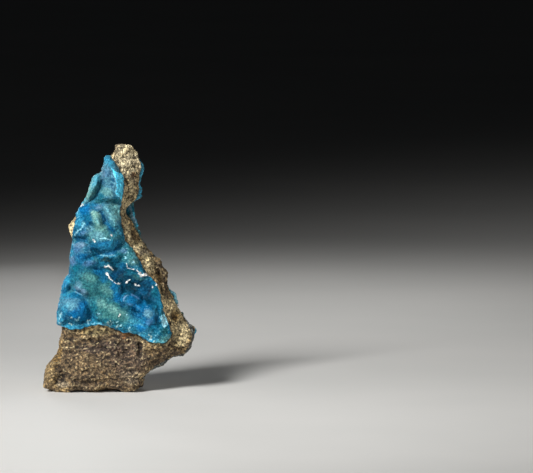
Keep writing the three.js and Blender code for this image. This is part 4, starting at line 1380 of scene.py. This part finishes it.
# Each large dome carries smaller ones around its crown, and the crown's tint in cloudy streaks
around = {
    "seed": 12,
    "count": 5,
    "streaks": 3,
}
scatter = random.Random(around["seed"])
for cx, cz, long, wide, tilt, height, crown, flank in backDomes:
    for i in range(around["count"]):
        turn = math.radians(360 / around["count"] * i + scatter.uniform(-30, 30))
        out = scatter.uniform(0.3, 0.95)
        x = cx + out * long * math.cos(turn)
        z = cz + out * wide * math.sin(turn)
        size = scatter.uniform(1.0, 2.4)
        lean = scatter.uniform(-80, 80)
        under = height * (1 - out * out) ** crust["roundness"]
        backSwells.append((x, z, size, 0.75 * size, lean, under + scatter.uniform(0.5, 1.1)))
        tint = scatter.choice([crown, flank, "sea", "deep", "lilac"])
        backPatches.append((x, z, size, 0.6 * size, lean, tint, scatter.uniform(0.3, 0.7)))
    for _ in range(around["streaks"]):
        x = cx + scatter.uniform(-0.5, 0.5) * long
        z = cz + scatter.uniform(-0.4, 0.5) * wide
        lean = tilt + scatter.uniform(-40, 40)
        strength = scatter.uniform(0.4, 0.75)
        backPatches.append((x, z, 0.55 * long, 0.2 * wide, lean, crown, strength))

backEdges = [
    ([(-9.5, 24.0), (-4.0, 20.0), (2.0, 21.0), (8.0, 16.5), (14.0, 14.5), (20.6, 12.6)],
     0.8, "cyan", 0.5),
    # what the front view shows of it past the rock's right edge
    ([(6.2, 68.4), (6.8, 65.6), (6.6, 62.6), (6.0, 60.8)], 0.9, "cyan", 0.5),
    ([(6.2, 60.0), (5.9, 57.4), (5.2, 56.0)], 0.7, "cyan", 0.6),
    ([(2.4, 55.4), (3.6, 53.2), (4.3, 50.6), (5.7, 47.0)], 0.22, "sky", 0.6),
    ([(4.2, 55.6), (4.6, 53.2), (5.4, 50.8), (6.2, 48.2)], 0.18, "ice", 0.4),
    ([(2.6, 55.2), (2.9, 53.4), (3.6, 51.4), (4.6, 49.4)], 0.4, "grey", 0.8),
    ([(14.2, 29.6), (16.4, 27.6), (16.6, 25.4), (15.6, 24.2)], 0.5, "ice", 0.6),
    ([(21.6, 17.6), (22.6, 16.8), (22.4, 15.8)], 0.6, "cyan", 0.7),
]
backSugar = [
    (4.0, 24.0, 5.0, 3.0, -20, 0.5),
    (0.0, 46.0, 4.0, 5.0, 0, 0.4),
    (-6.0, 33.0, 2.0, 4.0, 0, 0.5),
    (12.0, 18.0, 5.0, 2.0, -20, 0.5),
]

backForm = {
    "face": 1,
    "blend": 0.9,
    "wander": ((3.4, 0.5), (1.1, 0.45)),
    "domes": backDomes,
    "swells": backSwells,
    "bowls": [],
    "lines": [],
    "facets": [],
    "patches": backPatches,
    "edges": backEdges,
    "sugar": backSugar,
    "flanks": ("teal", 0.7),
    "contactStain": 0.5,
    "lean": 0.0,
    # Small shifts of its outline: middle x and z, reach, and mm sideways
    "pushes": [
        (6.0, 64.6, 4.0, 0.5),
        (5.4, 58.0, 2.6, 0.5),
        (15.6, 27.0, 3.0, 1.0),
        (21.8, 17.0, 2.0, 0.5),
    ],
}

backCrust = makeCrust("back_crust", "back_hemimorphite", backForm)
paintCrust(backCrust, backForm)
dustCrust(backCrust, backForm)
backCrust.data.materials.append(hemimorphite)
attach(backCrust, "root")
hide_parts("back_crust")
print("back crust made:", len(backCrust.data.polygons), "faces")


for piece in (gossan, frontCrust, backCrust):
    makeActive(piece)
    bpy.ops.object.shade_smooth()

deselectAll()
